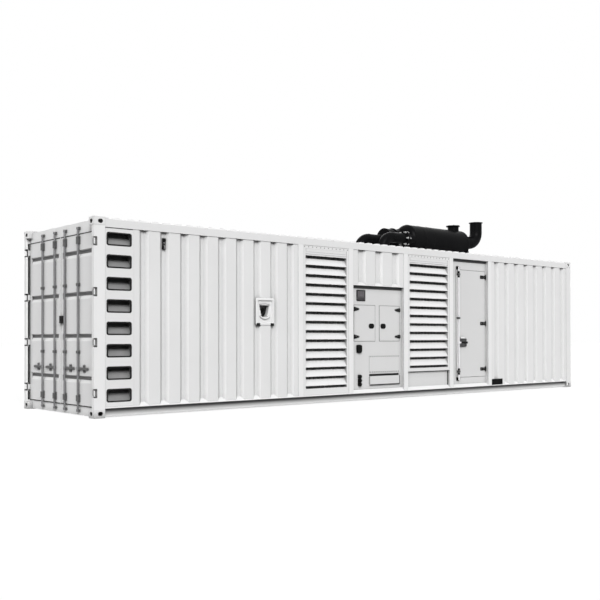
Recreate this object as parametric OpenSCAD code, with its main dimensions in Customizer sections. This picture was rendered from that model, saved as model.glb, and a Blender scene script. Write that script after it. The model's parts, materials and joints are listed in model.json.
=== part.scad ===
// Containerised diesel generator set: a 40 ft high-cube steel container with cargo doors at one
// end, air louvres, a control bay, a personnel door and an exhaust silencer on its roof.
// Origin: ground level, at the centre of the four bottom corner castings. +X runs along the
// length away from the cargo doors, the control side faces -Y, +Z is up.

/* [Container] */
// Overall length, over the corner castings
container_l = 12192; // [10500:1:15000]
// Overall width, over the corner castings
container_w = 2438; // [2100:1:3000]
// Overall height, over the corner castings
container_h = 2896; // [2750:1:3500]

/* [Bays along the control side, from the door end] */
// Width of the vent panel
vent_bay = 470; // [440:1:700]
// Width of the first corrugated wall
wall_a = 3194; // [1500:1:3800]
// Width of the left louvre bay
louvre_bay_1 = 1085; // [700:1:1500]
// Width of the control bay
control_bay = 1344; // [1320:1:1700]
// Width of the right louvre bay
louvre_bay_2 = 1238; // [700:1:1500]
// Width of the personnel door bay
door_bay = 1145; // [1100:1:1600]
// Width of the posts between the bays
mullion_w = 110; // [80:1:150]

/* [Frame] */
// Length of a corner casting
casting_l = 178; // [170:1:190]
// Width of a corner casting
casting_w = 162; // [150:1:180]
// Height of a corner casting
casting_h = 118; // [110:1:130]
// Distance from the end face to a casting aperture's centre
aperture_x = 103.5; // [100:0.5:106]
// Distance from the side face to a casting aperture's centre
aperture_y = 89.5; // [85:0.5:95]
// Height of the bottom side rail, where the walls begin
rail_top = 204; // [180:1:260]
// Height of the top side rail
top_rail_h = 114; // [80:1:160]
// Set-back of posts and rails from the castings' faces
frame_inset = 3; // [2:1:8]

/* [Sheet walls] */
// Width of one wall corrugation
wall_pitch = 350; // [200:1:450]
// Depth of the wall corrugations
wall_depth = 40; // [20:1:46]
// Thickness of the wall sheets
sheet_t = 4; // [2:0.5:6]
// Width of one roof corrugation
roof_pitch = 209; // [150:1:300]

/* [Vents and louvres] */
// Number of vent openings, one above the other
vent_count = 8; // [4:1:8]
// Width of a vent opening
vent_w = 408; // [300:1:420]
// Height of a vent opening
vent_h = 190; // [120:1:200]
// Height from one vent to the next
vent_pitch = 324; // [250:1:340]
// Height of the lowest vent's centre
vent_z = 319; // [315:1:360]
// Height from one louvre blade to the next
blade_pitch = 161; // [140:1:200]
// Clear height between two louvre blades
blade_gap = 46; // [30:1:60]

/* [Doors] */
// Depth of the control bay and the personnel door bay
recess = 62; // [55:1:75]
// Width of the personnel door's leaf
leaf_w = 940; // [800:1:960]
// Height of the personnel door's leaf
leaf_h = 2187; // [1900:1:2200]
// Height of the personnel door's threshold
leaf_z = 345; // [260:1:400]
// Width of a control door
control_door_w = 540; // [400:1:560]
// Distance from the bay's side to a control door's opening
bay_margin = 66; // [40:1:90]
// Height of a control door
control_door_h = 655; // [500:1:700]
// Gap around a door leaf
door_gap = 6; // [5:1:12]
// Set-back of the cargo doors from the end face
cargo_inset = 68; // [60:1:90]
// Radius of a cargo door's lock rod
rod_r = 15; // [12:1:17]

/* [Exhaust] */
// Radius of the silencer
silencer_r = 310; // [250:1:330]
// Length of the silencer's round body
silencer_l = 1780; // [1300:1:2600]
// Radius of the two inlet pipes
inlet_r = 110; // [80:1:115]
// Radius of the outlet pipe
outlet_r = 137; // [100:1:200]

/* [Hidden] */
$fn = 48;

paint = "white";
steel = "silver";
dark = "dimgray";
black = "black";

// Heights and lines that several pieces share
top_rail_z1 = container_h - 30;
top_rail_z0 = top_rail_z1 - top_rail_h;
lip_z = 136;
slope_d = 50;
flange_d = 110;
rail_t = 8;
rail_z0 = 13;
wall_y = 10;
floor_z1 = rail_top - rail_t;
floor_t = 28;
post_end_w = 75;
panel_y = frame_inset + recess;
plate_t = 6;
seat = 0.3;

// Where each bay starts, from the door end
vent_x = casting_l;
wall_a_x = vent_x + vent_bay;
mullion_1 = wall_a_x + wall_a;
louvre_1_x = mullion_1 + mullion_w;
mullion_2 = louvre_1_x + louvre_bay_1;
control_x = mullion_2 + mullion_w;
mullion_3 = control_x + control_bay;
louvre_2_x = mullion_3 + mullion_w;
mullion_4 = louvre_2_x + louvre_bay_2;
door_x = mullion_4 + mullion_w;
mullion_5 = door_x + door_bay;
wall_b_x = mullion_5 + mullion_w;
wall_b = container_l - casting_l - wall_b_x;
mullions = [mullion_1, mullion_2, mullion_3, mullion_4, mullion_5];

// Places a piece by its distance from the door end, its depth in from a side, and its height
module at_front() translate([-container_l / 2, -container_w / 2, 0]) children();
module at_rear() mirror([0, 1, 0]) at_front() children();
module both_sides() {
    at_front() children();
    at_rear() children();
}

// A block from its low corner to its high corner
module span(low, high) translate(low) cube(high - low);

// A section drawn in depth and height, run along the length from x0 to x1
module along(x0, x1) translate([x0, 0, 0]) rotate([90, 0, 90]) linear_extrude(x1 - x0) children();

// A section drawn in length and depth, run up from z0 to z1
module upward(z0, z1) translate([0, 0, z0]) linear_extrude(z1 - z0) children();

// A flat outline drawn in length and height, run inward from depth y0 to y1
module inward(y0, y1) translate([0, y1, 0]) rotate([90, 0, 0]) linear_extrude(y1 - y0) children();

// A plate's outline with round corners, centred
module round_rect(w, h, r) {
    square([w - 2 * r, h], center = true);
    square([w, h - 2 * r], center = true);
    for (x = [-1, 1], z = [-1, 1]) translate([x * (w / 2 - r), z * (h / 2 - r)]) circle(r);
}

// Points of one face of a folded sheet: flats with trapezoid recesses of the given depth
function folds(n, pitch, flat, depth, y) = [for (i = [0:n - 1], p = [
    [i * pitch + flat / 2, y],
    [i * pitch + flat / 2 + 50, y + depth],
    [(i + 1) * pitch - flat / 2 - 50, y + depth],
    [(i + 1) * pitch - flat / 2, y]]) p];
function reversed(list) = [for (i = [len(list) - 1:-1:0]) list[i]];

// A folded sheet's section, as long as it is told, with whole corrugations only
module folded(length, depth) {
    n = max(1, floor(length / wall_pitch));
    pitch = length / n;
    flat = 0.55 * pitch;
    polygon(concat([[0, 0]], folds(n, pitch, flat, depth, 0), [[length, 0], [length, sheet_t]],
        reversed(folds(n, pitch, flat, depth, sheet_t)), [[0, sheet_t]]));
}

// The sloped ledge that the walls stand on: everything below it is cut from them
module below_ledge(z) {
    rise = rail_top - lip_z - rail_t;
    along(-10, container_l + 10)
        polygon([[-20, z - 400], [-20, z], [0, z], [slope_d, z + rise], [300, z + rise], [300, z - 400]]);
}
module on_ledge(z = lip_z + rail_t) difference() {
    children();
    below_ledge(z);
}

// ---- frame ----

module slot(length, width, height) {
    for (x = [-1, 1]) translate([x * (length - width) / 2, 0, 0]) cylinder(r = width / 2, h = height);
    translate([-(length - width) / 2, -width / 2, 0]) cube([length - width, width, height]);
}

// A corner casting standing on its apertured face
module casting() difference() {
    cube([casting_l, casting_w, casting_h]);
    span([22, 28, 28], [casting_l - 12, casting_w - 12, casting_h - 12]);
    translate([aperture_x, aperture_y, -1]) slot(124, 63.5, 30);
    translate([aperture_x, -1, casting_h / 2 + 6]) rotate([-90, 0, 0]) slot(79.5, 60, 30);
    translate([-1, aperture_y, casting_h / 2 + 6]) rotate([90, 0, 90]) slot(79.5, 60, 30);
}
module four_castings() both_sides() {
    casting();
    translate([container_l, 0, 0]) mirror([1, 0, 0]) casting();
}
module bottom_castings() color(paint) four_castings();
module top_castings() color(paint) translate([0, 0, container_h]) mirror([0, 0, 1]) four_castings();

post_z0 = casting_h;
post_z1 = container_h - casting_h;

// Cargo door hinges: the pin stands in a notch in the post's corner
hinge_pin_xy = 12;
hinge_pin_r = 7;
hinge_play = 0.05;
hinge_r = 11;
blade_h = 84;
lug_h = 18;
notch_h = blade_h + 2 * lug_h + 10;
notch_x = 43;
cargo_z0 = 150;
cargo_z1 = post_z1 - 83;
hinge_heights = [for (i = [0:3]) cargo_z0 + 210 + i * (cargo_z1 - cargo_z0 - 365) / 3];

module door_end_posts() color(paint) both_sides() difference() {
    span([frame_inset, frame_inset, post_z0], [casting_l, post_end_w, post_z1]);
    for (z = hinge_heights) translate([0, 0, z - notch_h / 2]) cube([notch_x, post_end_w + 1, notch_h]);
}

module far_end_posts() color(paint) both_sides()
    span([container_l - casting_l, frame_inset, post_z0], [container_l - frame_inset, post_end_w, post_z1]);

// A side rail: an outward channel under a sloped ledge, with a flange that carries the wall
module ledge_section() polygon([[0, lip_z], [0, lip_z + rail_t], [slope_d, rail_top], [flange_d, rail_top],
    [flange_d, floor_z1], [slope_d + rail_t, floor_z1], [slope_d + rail_t, rail_z0],
    [frame_inset + 3, rail_z0], [frame_inset + 3, rail_z0 + 14], [slope_d, rail_z0 + 14], [slope_d, lip_z]]);
module bottom_rails() color(paint) both_sides() along(casting_l, container_l - casting_l) ledge_section();

module top_rails() color(paint) both_sides() along(casting_l, container_l - casting_l) difference() {
    translate([frame_inset, top_rail_z0]) square([flange_d - frame_inset, top_rail_h]);
    translate([frame_inset + rail_t, top_rail_z0 + rail_t])
        square([flange_d - frame_inset - 2 * rail_t, top_rail_h - 2 * rail_t]);
}

// Channels under the floor, from rail to rail
member_count = 24;
module cross_members() color(dark) at_front() {
    first = casting_l + 160;
    step = (container_l - 2 * first) / (member_count - 1);
    z1 = floor_z1 - floor_t;
    for (i = [0:member_count - 1]) translate([first + i * step, container_w - slope_d - rail_t, 0])
        rotate([90, 0, 0]) linear_extrude(container_w - 2 * (slope_d + rail_t))
            polygon([[0, rail_z0 + 33], [45, rail_z0 + 33], [45, rail_z0 + 38], [5, rail_z0 + 38],
                [5, z1 - 5], [45, z1 - 5], [45, z1], [0, z1]]);
}

module floor_plate() color(dark) at_front()
    span([casting_l + 2, slope_d + rail_t, floor_z1 - floor_t],
        [container_l - casting_l - 2, container_w - slope_d - rail_t, floor_z1]);

module roof_panel() color(paint) difference() {
    at_front() roof_sheet();
    on_roof() for (i = [0:1]) translate([riser_x[i], inlet_y[i], 0])
        cylinder(r = inlet_r + 5, h = container_h);
}
module roof_sheet() {
    length = container_l - 2 * casting_l;
    n = round(length / roof_pitch);
    pitch = length / n;
    crest = container_h - 6;
    depth = crest - top_rail_z1 - sheet_t;
    top = folds_roof(n, pitch, depth);
    width = container_w - 2 * wall_y;
    translate([casting_l, container_w - wall_y, crest]) rotate([90, 0, 0]) {
        linear_extrude(width) polygon(concat([[0, 0]], top, [[length, 0], [length, -sheet_t]],
            [for (p = reversed(top)) [p[0], p[1] - sheet_t]], [[0, -sheet_t]]));
        // Closing strips under the crests, along both sides and across both ends
        for (y = [0, width - sheet_t]) translate([0, 0, y]) linear_extrude(sheet_t)
            polygon(concat([[0, 0]], top, [[length, 0], [length, -depth - sheet_t], [0, -depth - sheet_t]]));
        for (x = [0, length - sheet_t]) translate([x, -depth - sheet_t, 0])
            cube([sheet_t, depth + sheet_t, width]);
    }
}
function folds_roof(n, pitch, depth) = [for (i = [0:n - 1], p = [
    [(i + 0.25) * pitch, 0], [(i + 0.33) * pitch, -depth],
    [(i + 0.67) * pitch, -depth], [(i + 0.75) * pitch, 0]]) p];

// ---- ends ----

// An end beam steps in at one edge, to pass between two castings
module beam_between(x0, x1, z_wide0, z_wide1, z_narrow0, z_narrow1) {
    span([x0, post_end_w, z_wide0], [x1, container_w - post_end_w, z_wide1]);
    span([x0, casting_w, z_narrow0], [x1, container_w - casting_w, z_narrow1]);
}
beam_x = cargo_inset + 8;
module door_header() color(paint) at_front()
    beam_between(beam_x, casting_l, cargo_z1 + door_gap, post_z1, post_z1 - 1, top_rail_z1);
module door_sill() color(paint) at_front()
    beam_between(beam_x, casting_l, post_z0, cargo_z0 - door_gap, rail_z0, post_z0 + 1);
module far_end_header() color(paint) at_front()
    beam_between(container_l - casting_l, container_l - wall_y, top_rail_z0, post_z1, post_z1 - 1, top_rail_z1);
module far_end_sill() color(paint) at_front()
    beam_between(container_l - casting_l, container_l - wall_y, post_z0, lip_z, rail_z0, post_z0 + 1);

module far_end_wall() color(paint) at_front()
    translate([container_l - wall_y, post_end_w, 0]) rotate([0, 0, 90])
        upward(lip_z, top_rail_z0) folded(container_w - 2 * post_end_w, wall_depth);

// ---- side walls ----

// A flat bay plate or corrugated bay, standing on the ledge
module wall_bay(x, length) on_ledge()
    translate([x, wall_y, 0]) upward(lip_z, top_rail_z0) folded(length, wall_depth);

vent_mid_x = vent_x + vent_bay / 2 - 5;
module vent_panels() color(paint) both_sides() on_ledge() inward(wall_y - 2, wall_y + plate_t - 2)
    difference() {
        translate([vent_x, lip_z]) square([vent_bay, top_rail_z0 - lip_z]);
        for (i = [0:vent_count - 1])
            translate([vent_mid_x, vent_z + i * vent_pitch]) round_rect(vent_w, vent_h, 30);
    }

// Behind each vent a plate slopes up and in, so that rain runs out again
slat_d = 150;
module vent_slats() color(dark) both_sides() for (i = [0:vent_count - 1])
    translate([0, wall_y + plate_t - 2, vent_z + i * vent_pitch - vent_h / 2 - 12])
        along(vent_mid_x - vent_w / 2 - 8, vent_mid_x + vent_w / 2 + 8)
            polygon([[0, 0], [slat_d, vent_h], [slat_d, vent_h + 5], [0, 5]]);

module front_wall_a() color(paint) at_front() difference() {
    wall_bay(wall_a_x, wall_a);
    fuel_cut();
}
module front_wall_b() color(paint) at_front() difference() {
    wall_bay(wall_b_x, wall_b);
    drain_cut();
}

// A hollow post between two bays
post_t = 6;
post_y1 = flange_d - 7;
module post(x) on_ledge() difference() {
    span([x, frame_inset, lip_z], [x + mullion_w, post_y1, top_rail_z0]);
    span([x + post_t, frame_inset + post_t, lip_z - 1],
        [x + mullion_w - post_t, post_y1 - post_t, top_rail_z0 + 1]);
}
module front_mullions() color(paint) at_front() for (x = mullions) post(x);
module rear_mullions() color(paint) at_rear() for (x = mullions) post(x);

// A louvre panel: sloped blades in a frame, above z0
blade_side = 54;
louvre_d = 62;
module louvre(x, width, z0) {
    top = top_rail_z0 - 60;
    low = max(z0, rail_top) + 64;
    count = round((top - low) / blade_pitch);
    pitch = (top - low) / count;
    left = x + blade_side;
    right = x + width - blade_side;
    on_ledge() difference() {
        span([x, wall_y - 2, z0], [x + width, wall_y + louvre_d, top_rail_z0]);
        span([left, 0, low], [right, wall_y + louvre_d + 1, top]);
    }
    for (i = [0:count - 1]) translate([0, wall_y, low + i * pitch + blade_gap])
        along(left, right) polygon([[0, 0], [0, 10], [louvre_d - 6, pitch - blade_gap],
            [louvre_d, pitch - blade_gap], [louvre_d, pitch - blade_gap - 6], [6, 0]]);
}
kick_z = 500;
module front_louvres() color(paint) at_front() {
    louvre(louvre_1_x, louvre_bay_1, lip_z);
    louvre(louvre_2_x, louvre_bay_2, kick_z);
}
module kick_panel() color(paint) at_front()
    span([louvre_2_x, wall_y + 40, rail_top], [louvre_2_x + louvre_bay_2, wall_y + 46, kick_z]);

// The rear side repeats the bays, with plain walls where the control bay and the door are
module rear_walls() color(paint) at_rear() {
    wall_bay(wall_a_x, wall_a);
    wall_bay(control_x, control_bay);
    wall_bay(door_x, door_bay);
    wall_bay(wall_b_x, wall_b);
}
module rear_louvres() color(paint) at_rear() {
    louvre(louvre_1_x, louvre_bay_1, lip_z);
    louvre(louvre_2_x, louvre_bay_2, lip_z);
}

// ---- control bay ----

bay_lip_z = 2104;
bay_ledge_top = bay_lip_z + rail_top - lip_z;
module bay_ledge() color(paint) at_front() along(control_x, mullion_3)
    polygon([[0, bay_lip_z], [0, bay_lip_z + rail_t], [slope_d, bay_ledge_top], [post_y1, bay_ledge_top],
        [post_y1, bay_lip_z]]);
module bay_upper_panel() color(paint) at_front() difference() {
    translate([control_x, wall_y, 0]) upward(bay_lip_z, top_rail_z0) folded(control_bay, wall_depth);
    below_ledge(bay_lip_z + rail_t);
}

// The control panel's outline and its cut-outs, from the bay's lower left corner
door_1_x = control_x + bay_margin;
door_2_x = mullion_3 - bay_margin - control_door_w - 2 * door_gap;
control_door_z = 1090;
control_hole = [control_door_w + 2 * door_gap, control_door_h + 2 * door_gap];
cable_x = control_x + 462;
cable_w = 800;
cable_z = 258;
cable_slot_h = 40;
module control_panel() color(paint) at_front() inward(panel_y, panel_y + plate_t) difference() {
    translate([control_x, rail_top]) square([control_bay, bay_lip_z - rail_top]);
    for (x = [door_1_x, door_2_x]) translate([x, control_door_z - door_gap]) square(control_hole);
    translate([cable_x, cable_z + 182]) square([cable_w, cable_slot_h]);
}

cabinet_d = 240;
cabinet_t = 3;
module control_cabinet() color(steel) at_front() difference() {
    span([door_1_x - 20, panel_y + plate_t, control_door_z - 30],
        [door_2_x + control_hole[0] + 20, panel_y + plate_t + cabinet_d, control_door_z + control_hole[1] + 20]);
    for (x = [door_1_x, door_2_x]) span([x - 10, panel_y, control_door_z - 20],
        [x + control_hole[0] + 10, panel_y + plate_t + cabinet_d - cabinet_t, control_door_z + control_hole[1] + 10]);
}

// A control door turns on a pin in front of its outer edge
control_pin_y = panel_y - 12;
control_pin_r = 5;
control_knuckle_r = 8;
control_hinge_z = [80, 585];
module control_leaf(x) span([x + door_gap, panel_y - 4, control_door_z],
    [x + door_gap + control_door_w, panel_y + 16, control_door_z + control_door_h]);
// A hinge's moving half: a knuckle and a strap that narrows towards its point
module moving_hinge(pin_x, side, z) translate([pin_x, 0, z]) {
    difference() {
        translate([0, control_pin_y, -18]) cylinder(r = control_knuckle_r, h = 36);
        translate([0, control_pin_y, -19]) cylinder(r = control_pin_r + hinge_play, h = 38);
    }
    inward(panel_y - 12, panel_y - 4)
        polygon([[side * 7, -16], [side * 7, 16], [side * 10, 16], [side * 10, 34], [side * 100, 10],
            [side * 100, -10], [side * 10, -34], [side * 10, -16]]);
}
control_pin_1 = door_1_x + door_gap - 12;
control_pin_2 = door_2_x + door_gap + control_door_w + 12;
module control_door(x, pin_x, side) {
    control_leaf(x);
    for (z = control_hinge_z) moving_hinge(pin_x, side, control_door_z + z);
}
module control_door_left() color(paint) at_front() control_door(door_1_x, control_pin_1, 1);
module control_door_right() color(paint) at_front() control_door(door_2_x, control_pin_2, -1);

// The fixed halves: a pin with a foot above and below the moving knuckle
module fixed_hinge(pin_x, z) translate([pin_x, 0, z]) {
    translate([0, control_pin_y, -30]) cylinder(r = control_pin_r, h = 60);
    for (s = [-1, 1]) translate([0, 0, s * 24.5]) {
        translate([0, control_pin_y, -5]) cylinder(r = control_knuckle_r, h = 10);
        translate([-7, control_pin_y, -5]) cube([14, panel_y - control_pin_y, 10]);
    }
}
module control_hinges() color(black) at_front() for (x = [control_pin_1, control_pin_2], z = control_hinge_z)
    fixed_hinge(x, control_door_z + z);

// A quarter-turn lock: a round rose with a grip bar across it
lock_r = 46;
lock_z = control_door_z + 276;
lock_in = 95;
lock_1_x = door_1_x + door_gap + control_door_w - lock_in;
lock_2_x = door_2_x + door_gap + lock_in;
module quarter_lock(x) translate([x, panel_y - 4 - seat, lock_z]) rotate([90, 0, 0]) {
    cylinder(r = lock_r, h = 8);
    translate([-8, -32, 8]) cube([16, 64, 8]);
}
module control_lock_left() color(black) at_front() quarter_lock(lock_1_x);
module control_lock_right() color(black) at_front() quarter_lock(lock_2_x);

module display_window() color(dark) at_front() inward(panel_y - 10, panel_y)
    translate([control_x + 245, 1925]) round_rect(212, 192, 8);

// A breaker cover and a column of round capped sockets
module panel_sockets() color(black) at_front() {
    inward(panel_y - 35, panel_y) translate([control_x + 190, 948]) round_rect(108, 132, 25);
    for (i = [0:2]) inward(panel_y - 40, panel_y) translate([control_x + 205, 300 + i * 70]) circle(33);
}

module cable_cover() color(paint) at_front() {
    inward(panel_y - 4, panel_y) translate([cable_x, 505]) square([cable_w, 308]);
    inward(panel_y - 25, panel_y) translate([cable_x, cable_z + 18]) square([cable_w, 162]);
}

// ---- personnel door ----

leaf_x = mullion_5 - 40 - door_gap - leaf_w;
leaf_hole_x0 = leaf_x - door_gap;
leaf_hole_x1 = leaf_x + leaf_w + door_gap;
leaf_hole_z0 = leaf_z - door_gap;
leaf_hole_z1 = leaf_z + leaf_h + door_gap;
leaf_t = 45;
leaf_y = panel_y - 5;
// The fixed surround of the leaf: two jambs with a lintel and a threshold between them
frame_y1 = panel_y + 100;
module door_frame() color(paint) at_front() {
    span([door_x, panel_y, rail_top], [leaf_hole_x0, frame_y1, top_rail_z0]);
    span([leaf_hole_x1, panel_y, rail_top], [mullion_5, frame_y1, top_rail_z0]);
    span([leaf_hole_x0 + seat, panel_y, leaf_hole_z1], [leaf_hole_x1 - seat, frame_y1, top_rail_z0]);
    span([leaf_hole_x0 + seat, panel_y, rail_top], [leaf_hole_x1 - seat, frame_y1, leaf_hole_z0]);
}

leaf_pin_x = leaf_hole_x1 + 6;
leaf_pin_y = leaf_y - 10;
leaf_pin_r = 7;
leaf_knuckle_r = 10;
leaf_hinge_z = [for (z = [150, 1100, 2070]) leaf_z + z * leaf_h / 2187];
module personnel_door() color(paint) at_front() {
    difference() {
        span([leaf_x, leaf_y, leaf_z], [leaf_x + leaf_w, leaf_y + leaf_t, leaf_z + leaf_h]);
        span([leaf_x + 40, leaf_y + 3, leaf_z + 40],
            [leaf_x + leaf_w - 40, leaf_y + leaf_t + 1, leaf_z + leaf_h - 40]);
    }
    for (z = leaf_hinge_z) translate([0, 0, z]) {
        difference() {
            translate([leaf_pin_x, leaf_pin_y, -30]) cylinder(r = leaf_knuckle_r, h = 60);
            translate([leaf_pin_x, leaf_pin_y, -31]) cylinder(r = leaf_pin_r + hinge_play, h = 62);
        }
        span([leaf_pin_x - 160, leaf_y - 8, -24], [leaf_pin_x - 8, leaf_y, 24]);
    }
}
module personnel_hinges() color(black) at_front() for (z = leaf_hinge_z) translate([leaf_pin_x, 0, z]) {
    translate([0, leaf_pin_y, -50]) cylinder(r = leaf_pin_r, h = 100);
    for (s = [-1, 1]) translate([0, 0, s * 41]) {
        translate([0, leaf_pin_y, -9]) cylinder(r = leaf_knuckle_r, h = 18);
        span([-6, leaf_pin_y, -9], [18, panel_y, 9]);
    }
}

// The personnel door's lock rod turns in guides on the leaf; its ends stand in open keepers
leaf_rod_r = 17;
leaf_rod_x = leaf_x + 44;
leaf_rod_y = leaf_y - 34;
rod_play = 0.5;
leaf_handle_z = leaf_z + 705;
leaf_handle_l = 280;
module personnel_rod() color(steel) at_front() translate([leaf_rod_x, leaf_rod_y, 0]) {
    translate([0, 0, leaf_z - 55]) cylinder(r = leaf_rod_r, h = leaf_h + 110);
    translate([0, 0, leaf_handle_z - 30]) cylinder(r = leaf_rod_r + 5, h = 60);
    span([0, -6, leaf_handle_z - 16], [leaf_handle_l, 6, leaf_handle_z + 16]);
}
leaf_guides = [for (z = [117, 1203, 2092]) leaf_z + z * leaf_h / 2187];
module rod_guides() color(dark) at_front() {
    for (z = leaf_guides) translate([leaf_rod_x, 0, z]) difference() {
        span([-24, leaf_rod_y - leaf_rod_r - 4, -20], [24, leaf_y - seat, 20]);
        translate([0, leaf_rod_y, -21]) cylinder(r = leaf_rod_r + rod_play, h = 42);
    }
    // The lock case behind the handle
    span([leaf_rod_x + 36, leaf_rod_y + 9, leaf_handle_z - 78],
        [leaf_rod_x + leaf_handle_l - 25, leaf_y - seat, leaf_handle_z + 78]);
}
// A keeper is a pair of cheeks on a foot, open to the front
module keeper(half_gap, y0, y1) {
    for (s = [-1, 1]) translate([s * (half_gap + 4) - 4, y0, -18]) cube([8, y1 - y0, 36]);
    span([-half_gap - 8, y1 - 5, -18], [half_gap + 8, y1, 18]);
}
module personnel_keepers() color(dark) at_front() for (z = [leaf_z - 38, leaf_z + leaf_h + 38])
    translate([leaf_rod_x, 0, z]) keeper(leaf_rod_r + 6, leaf_rod_y - 4, panel_y);

// ---- things on the side wall ----

fuel_w = 390;
fuel_h = 450;
fuel_mid = [wall_a_x + 2467, 1585];
fuel_d = 170;
module fuel_cut() translate([fuel_mid[0] - fuel_w / 2 + 20, -1, fuel_mid[1] - fuel_h / 2 + 20])
    cube([fuel_w - 40, 100, fuel_h - 40]);
// A box let into the wall, with a raised rim and a mouth that widens upwards
module fuel_box() color(paint) at_front() translate([fuel_mid[0], 0, fuel_mid[1]]) difference() {
    union() {
        span([-fuel_w / 2, 0, -fuel_h / 2], [fuel_w / 2, wall_y - seat, fuel_h / 2]);
        span([-fuel_w / 2 + 21, wall_y - 1, -fuel_h / 2 + 21], [fuel_w / 2 - 21, fuel_d, fuel_h / 2 - 21]);
    }
    inward(-10, fuel_d - 4) polygon([[-130, 160], [130, 160], [95, -150], [-95, -150]]);
}
module fuel_filler() color(black) at_front() translate([fuel_mid[0], fuel_d - 4 - seat, fuel_mid[1]]) {
    rotate([90, 0, 0]) cylinder(r = 45, h = 60);
    translate([0, -60, 0]) rotate([90, 0, 0]) cylinder(r = 60, h = 30);
}

drain_x = wall_b_x + 10;
module drain_cut() translate([drain_x, -1, lip_z]) cube([370, 100, 140]);
module drain_box() color(black) at_front() on_ledge() span([drain_x + 2, wall_y - 4, lip_z],
    [drain_x + 368, wall_y + 60, lip_z + 138]);

// A strap hook in a wall recess, which holds an open cargo door
module door_holdback() color(black) at_front() translate([wall_a_x + 1.5 * wall_a / floor(wall_a / wall_pitch), 0, 2575]) {
    span([-25, wall_y + wall_depth - 24, -85], [25, wall_y + wall_depth, 85]);
    span([-25, wall_y + wall_depth - 34, 40], [25, wall_y + wall_depth - 24, 85]);
}

// ---- cargo doors ----

// Pieces of a cargo door are drawn for the control side and mirrored for the other
module right_door() at_front() children();
module left_door() at_rear() children();
centre_gap = 16;
cargo_y0 = post_end_w + 5;
cargo_y1 = container_w / 2 - centre_gap / 2;
cargo_t = 50;
groove_z = [for (i = [0:3]) cargo_z0 + 410 + i * (cargo_z1 - cargo_z0 - 685) / 3];
groove_d = 26;

// The sheet's folded section in depth and height: each groove has a steep top and a sloped foot
function groove_points(x) = [for (z = groove_z, p = [
    [x, z - 70], [x + groove_d, z - 15], [x + groove_d, z + 20], [x, z + 35]]) p];
module cargo_leaf() {
    rim = 60;
    sheet_z0 = cargo_z0 + rim - 1;
    sheet_z1 = cargo_z1 - rim + 1;
    difference() {
        span([cargo_inset, cargo_y0, cargo_z0], [cargo_inset + cargo_t, cargo_y1, cargo_z1]);
        span([cargo_inset - 1, cargo_y0 + rim, cargo_z0 + rim],
            [cargo_inset + cargo_t + 1, cargo_y1 - rim, cargo_z1 - rim]);
    }
    translate([0, cargo_y1 - rim + 1, 0]) rotate([90, 0, 0]) linear_extrude(cargo_y1 - cargo_y0 - 2 * rim + 2)
        polygon(concat([[cargo_inset, sheet_z0]], groove_points(cargo_inset),
            [[cargo_inset, sheet_z1], [cargo_inset + sheet_t, sheet_z1]],
            reversed(groove_points(cargo_inset + sheet_t)), [[cargo_inset + sheet_t, sheet_z0]]));
    // Hinge blades, cranked so that the open door lies clear of the side
    for (z = hinge_heights) upward(z - blade_h / 2, z + blade_h / 2) difference() {
        union() {
            translate([hinge_pin_xy, hinge_pin_xy]) circle(hinge_r);
            polygon([[5, 20], [26, 38], [26, cargo_y0 + 16], [cargo_inset + 1, cargo_y0 + 16],
                [cargo_inset + 1, cargo_y0 + 4], [38, cargo_y0 + 4], [38, 26], [20, 4]]);
        }
        translate([hinge_pin_xy, hinge_pin_xy]) circle(hinge_pin_r + hinge_play);
    }
}
module cargo_door_right() color(paint) right_door() cargo_leaf();
module cargo_door_left() color(paint) left_door() cargo_leaf();

// Hinge lugs with their pins, two plates to a hinge
module cargo_hinges() color(dark) both_sides() for (z = hinge_heights) translate([hinge_pin_xy, hinge_pin_xy, z]) {
    translate([0, 0, -blade_h / 2 - 1 - lug_h]) cylinder(r = hinge_pin_r, h = blade_h + 2 + 2 * lug_h);
    for (z0 = [-blade_h / 2 - 1 - lug_h, blade_h / 2 + 1]) translate([0, 0, z0]) {
        cylinder(r = hinge_r, h = lug_h);
        translate([-2, -9, 0]) cube([notch_x - hinge_pin_xy + 2, 34, lug_h]);
    }
}

// Lock rods: distance of each from the side it hinges on
rod_x = cargo_inset - 22;
rod_in = [container_w / 2 - 620, container_w / 2 - 177];
rod_z0 = 62;
rod_z1 = container_h - 98;
handle_z = 700;
handle_l = 310;
catch_in = 175;
collar_r = rod_r + 4;
// A rod with its end collars and its handle, which lies towards the hinge side
module lock_rod(y) translate([rod_x, y, 0]) {
    translate([0, 0, rod_z0]) cylinder(r = rod_r, h = rod_z1 - rod_z0);
    for (z = [rod_z0, rod_z1 - 34]) translate([0, 0, z]) cylinder(r = collar_r, h = 34);
    translate([0, 0, handle_z - 28]) cylinder(r = collar_r, h = 56);
    translate([-6, -handle_l, handle_z - 16]) cube([12, handle_l, 32]);
}
module lock_rod_1() color(steel) left_door() lock_rod(rod_in[0]);
module lock_rod_2() color(steel) left_door() lock_rod(rod_in[1]);
module lock_rod_3() color(steel) right_door() lock_rod(rod_in[1]);
module lock_rod_4() color(steel) right_door() lock_rod(rod_in[0]);

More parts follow.
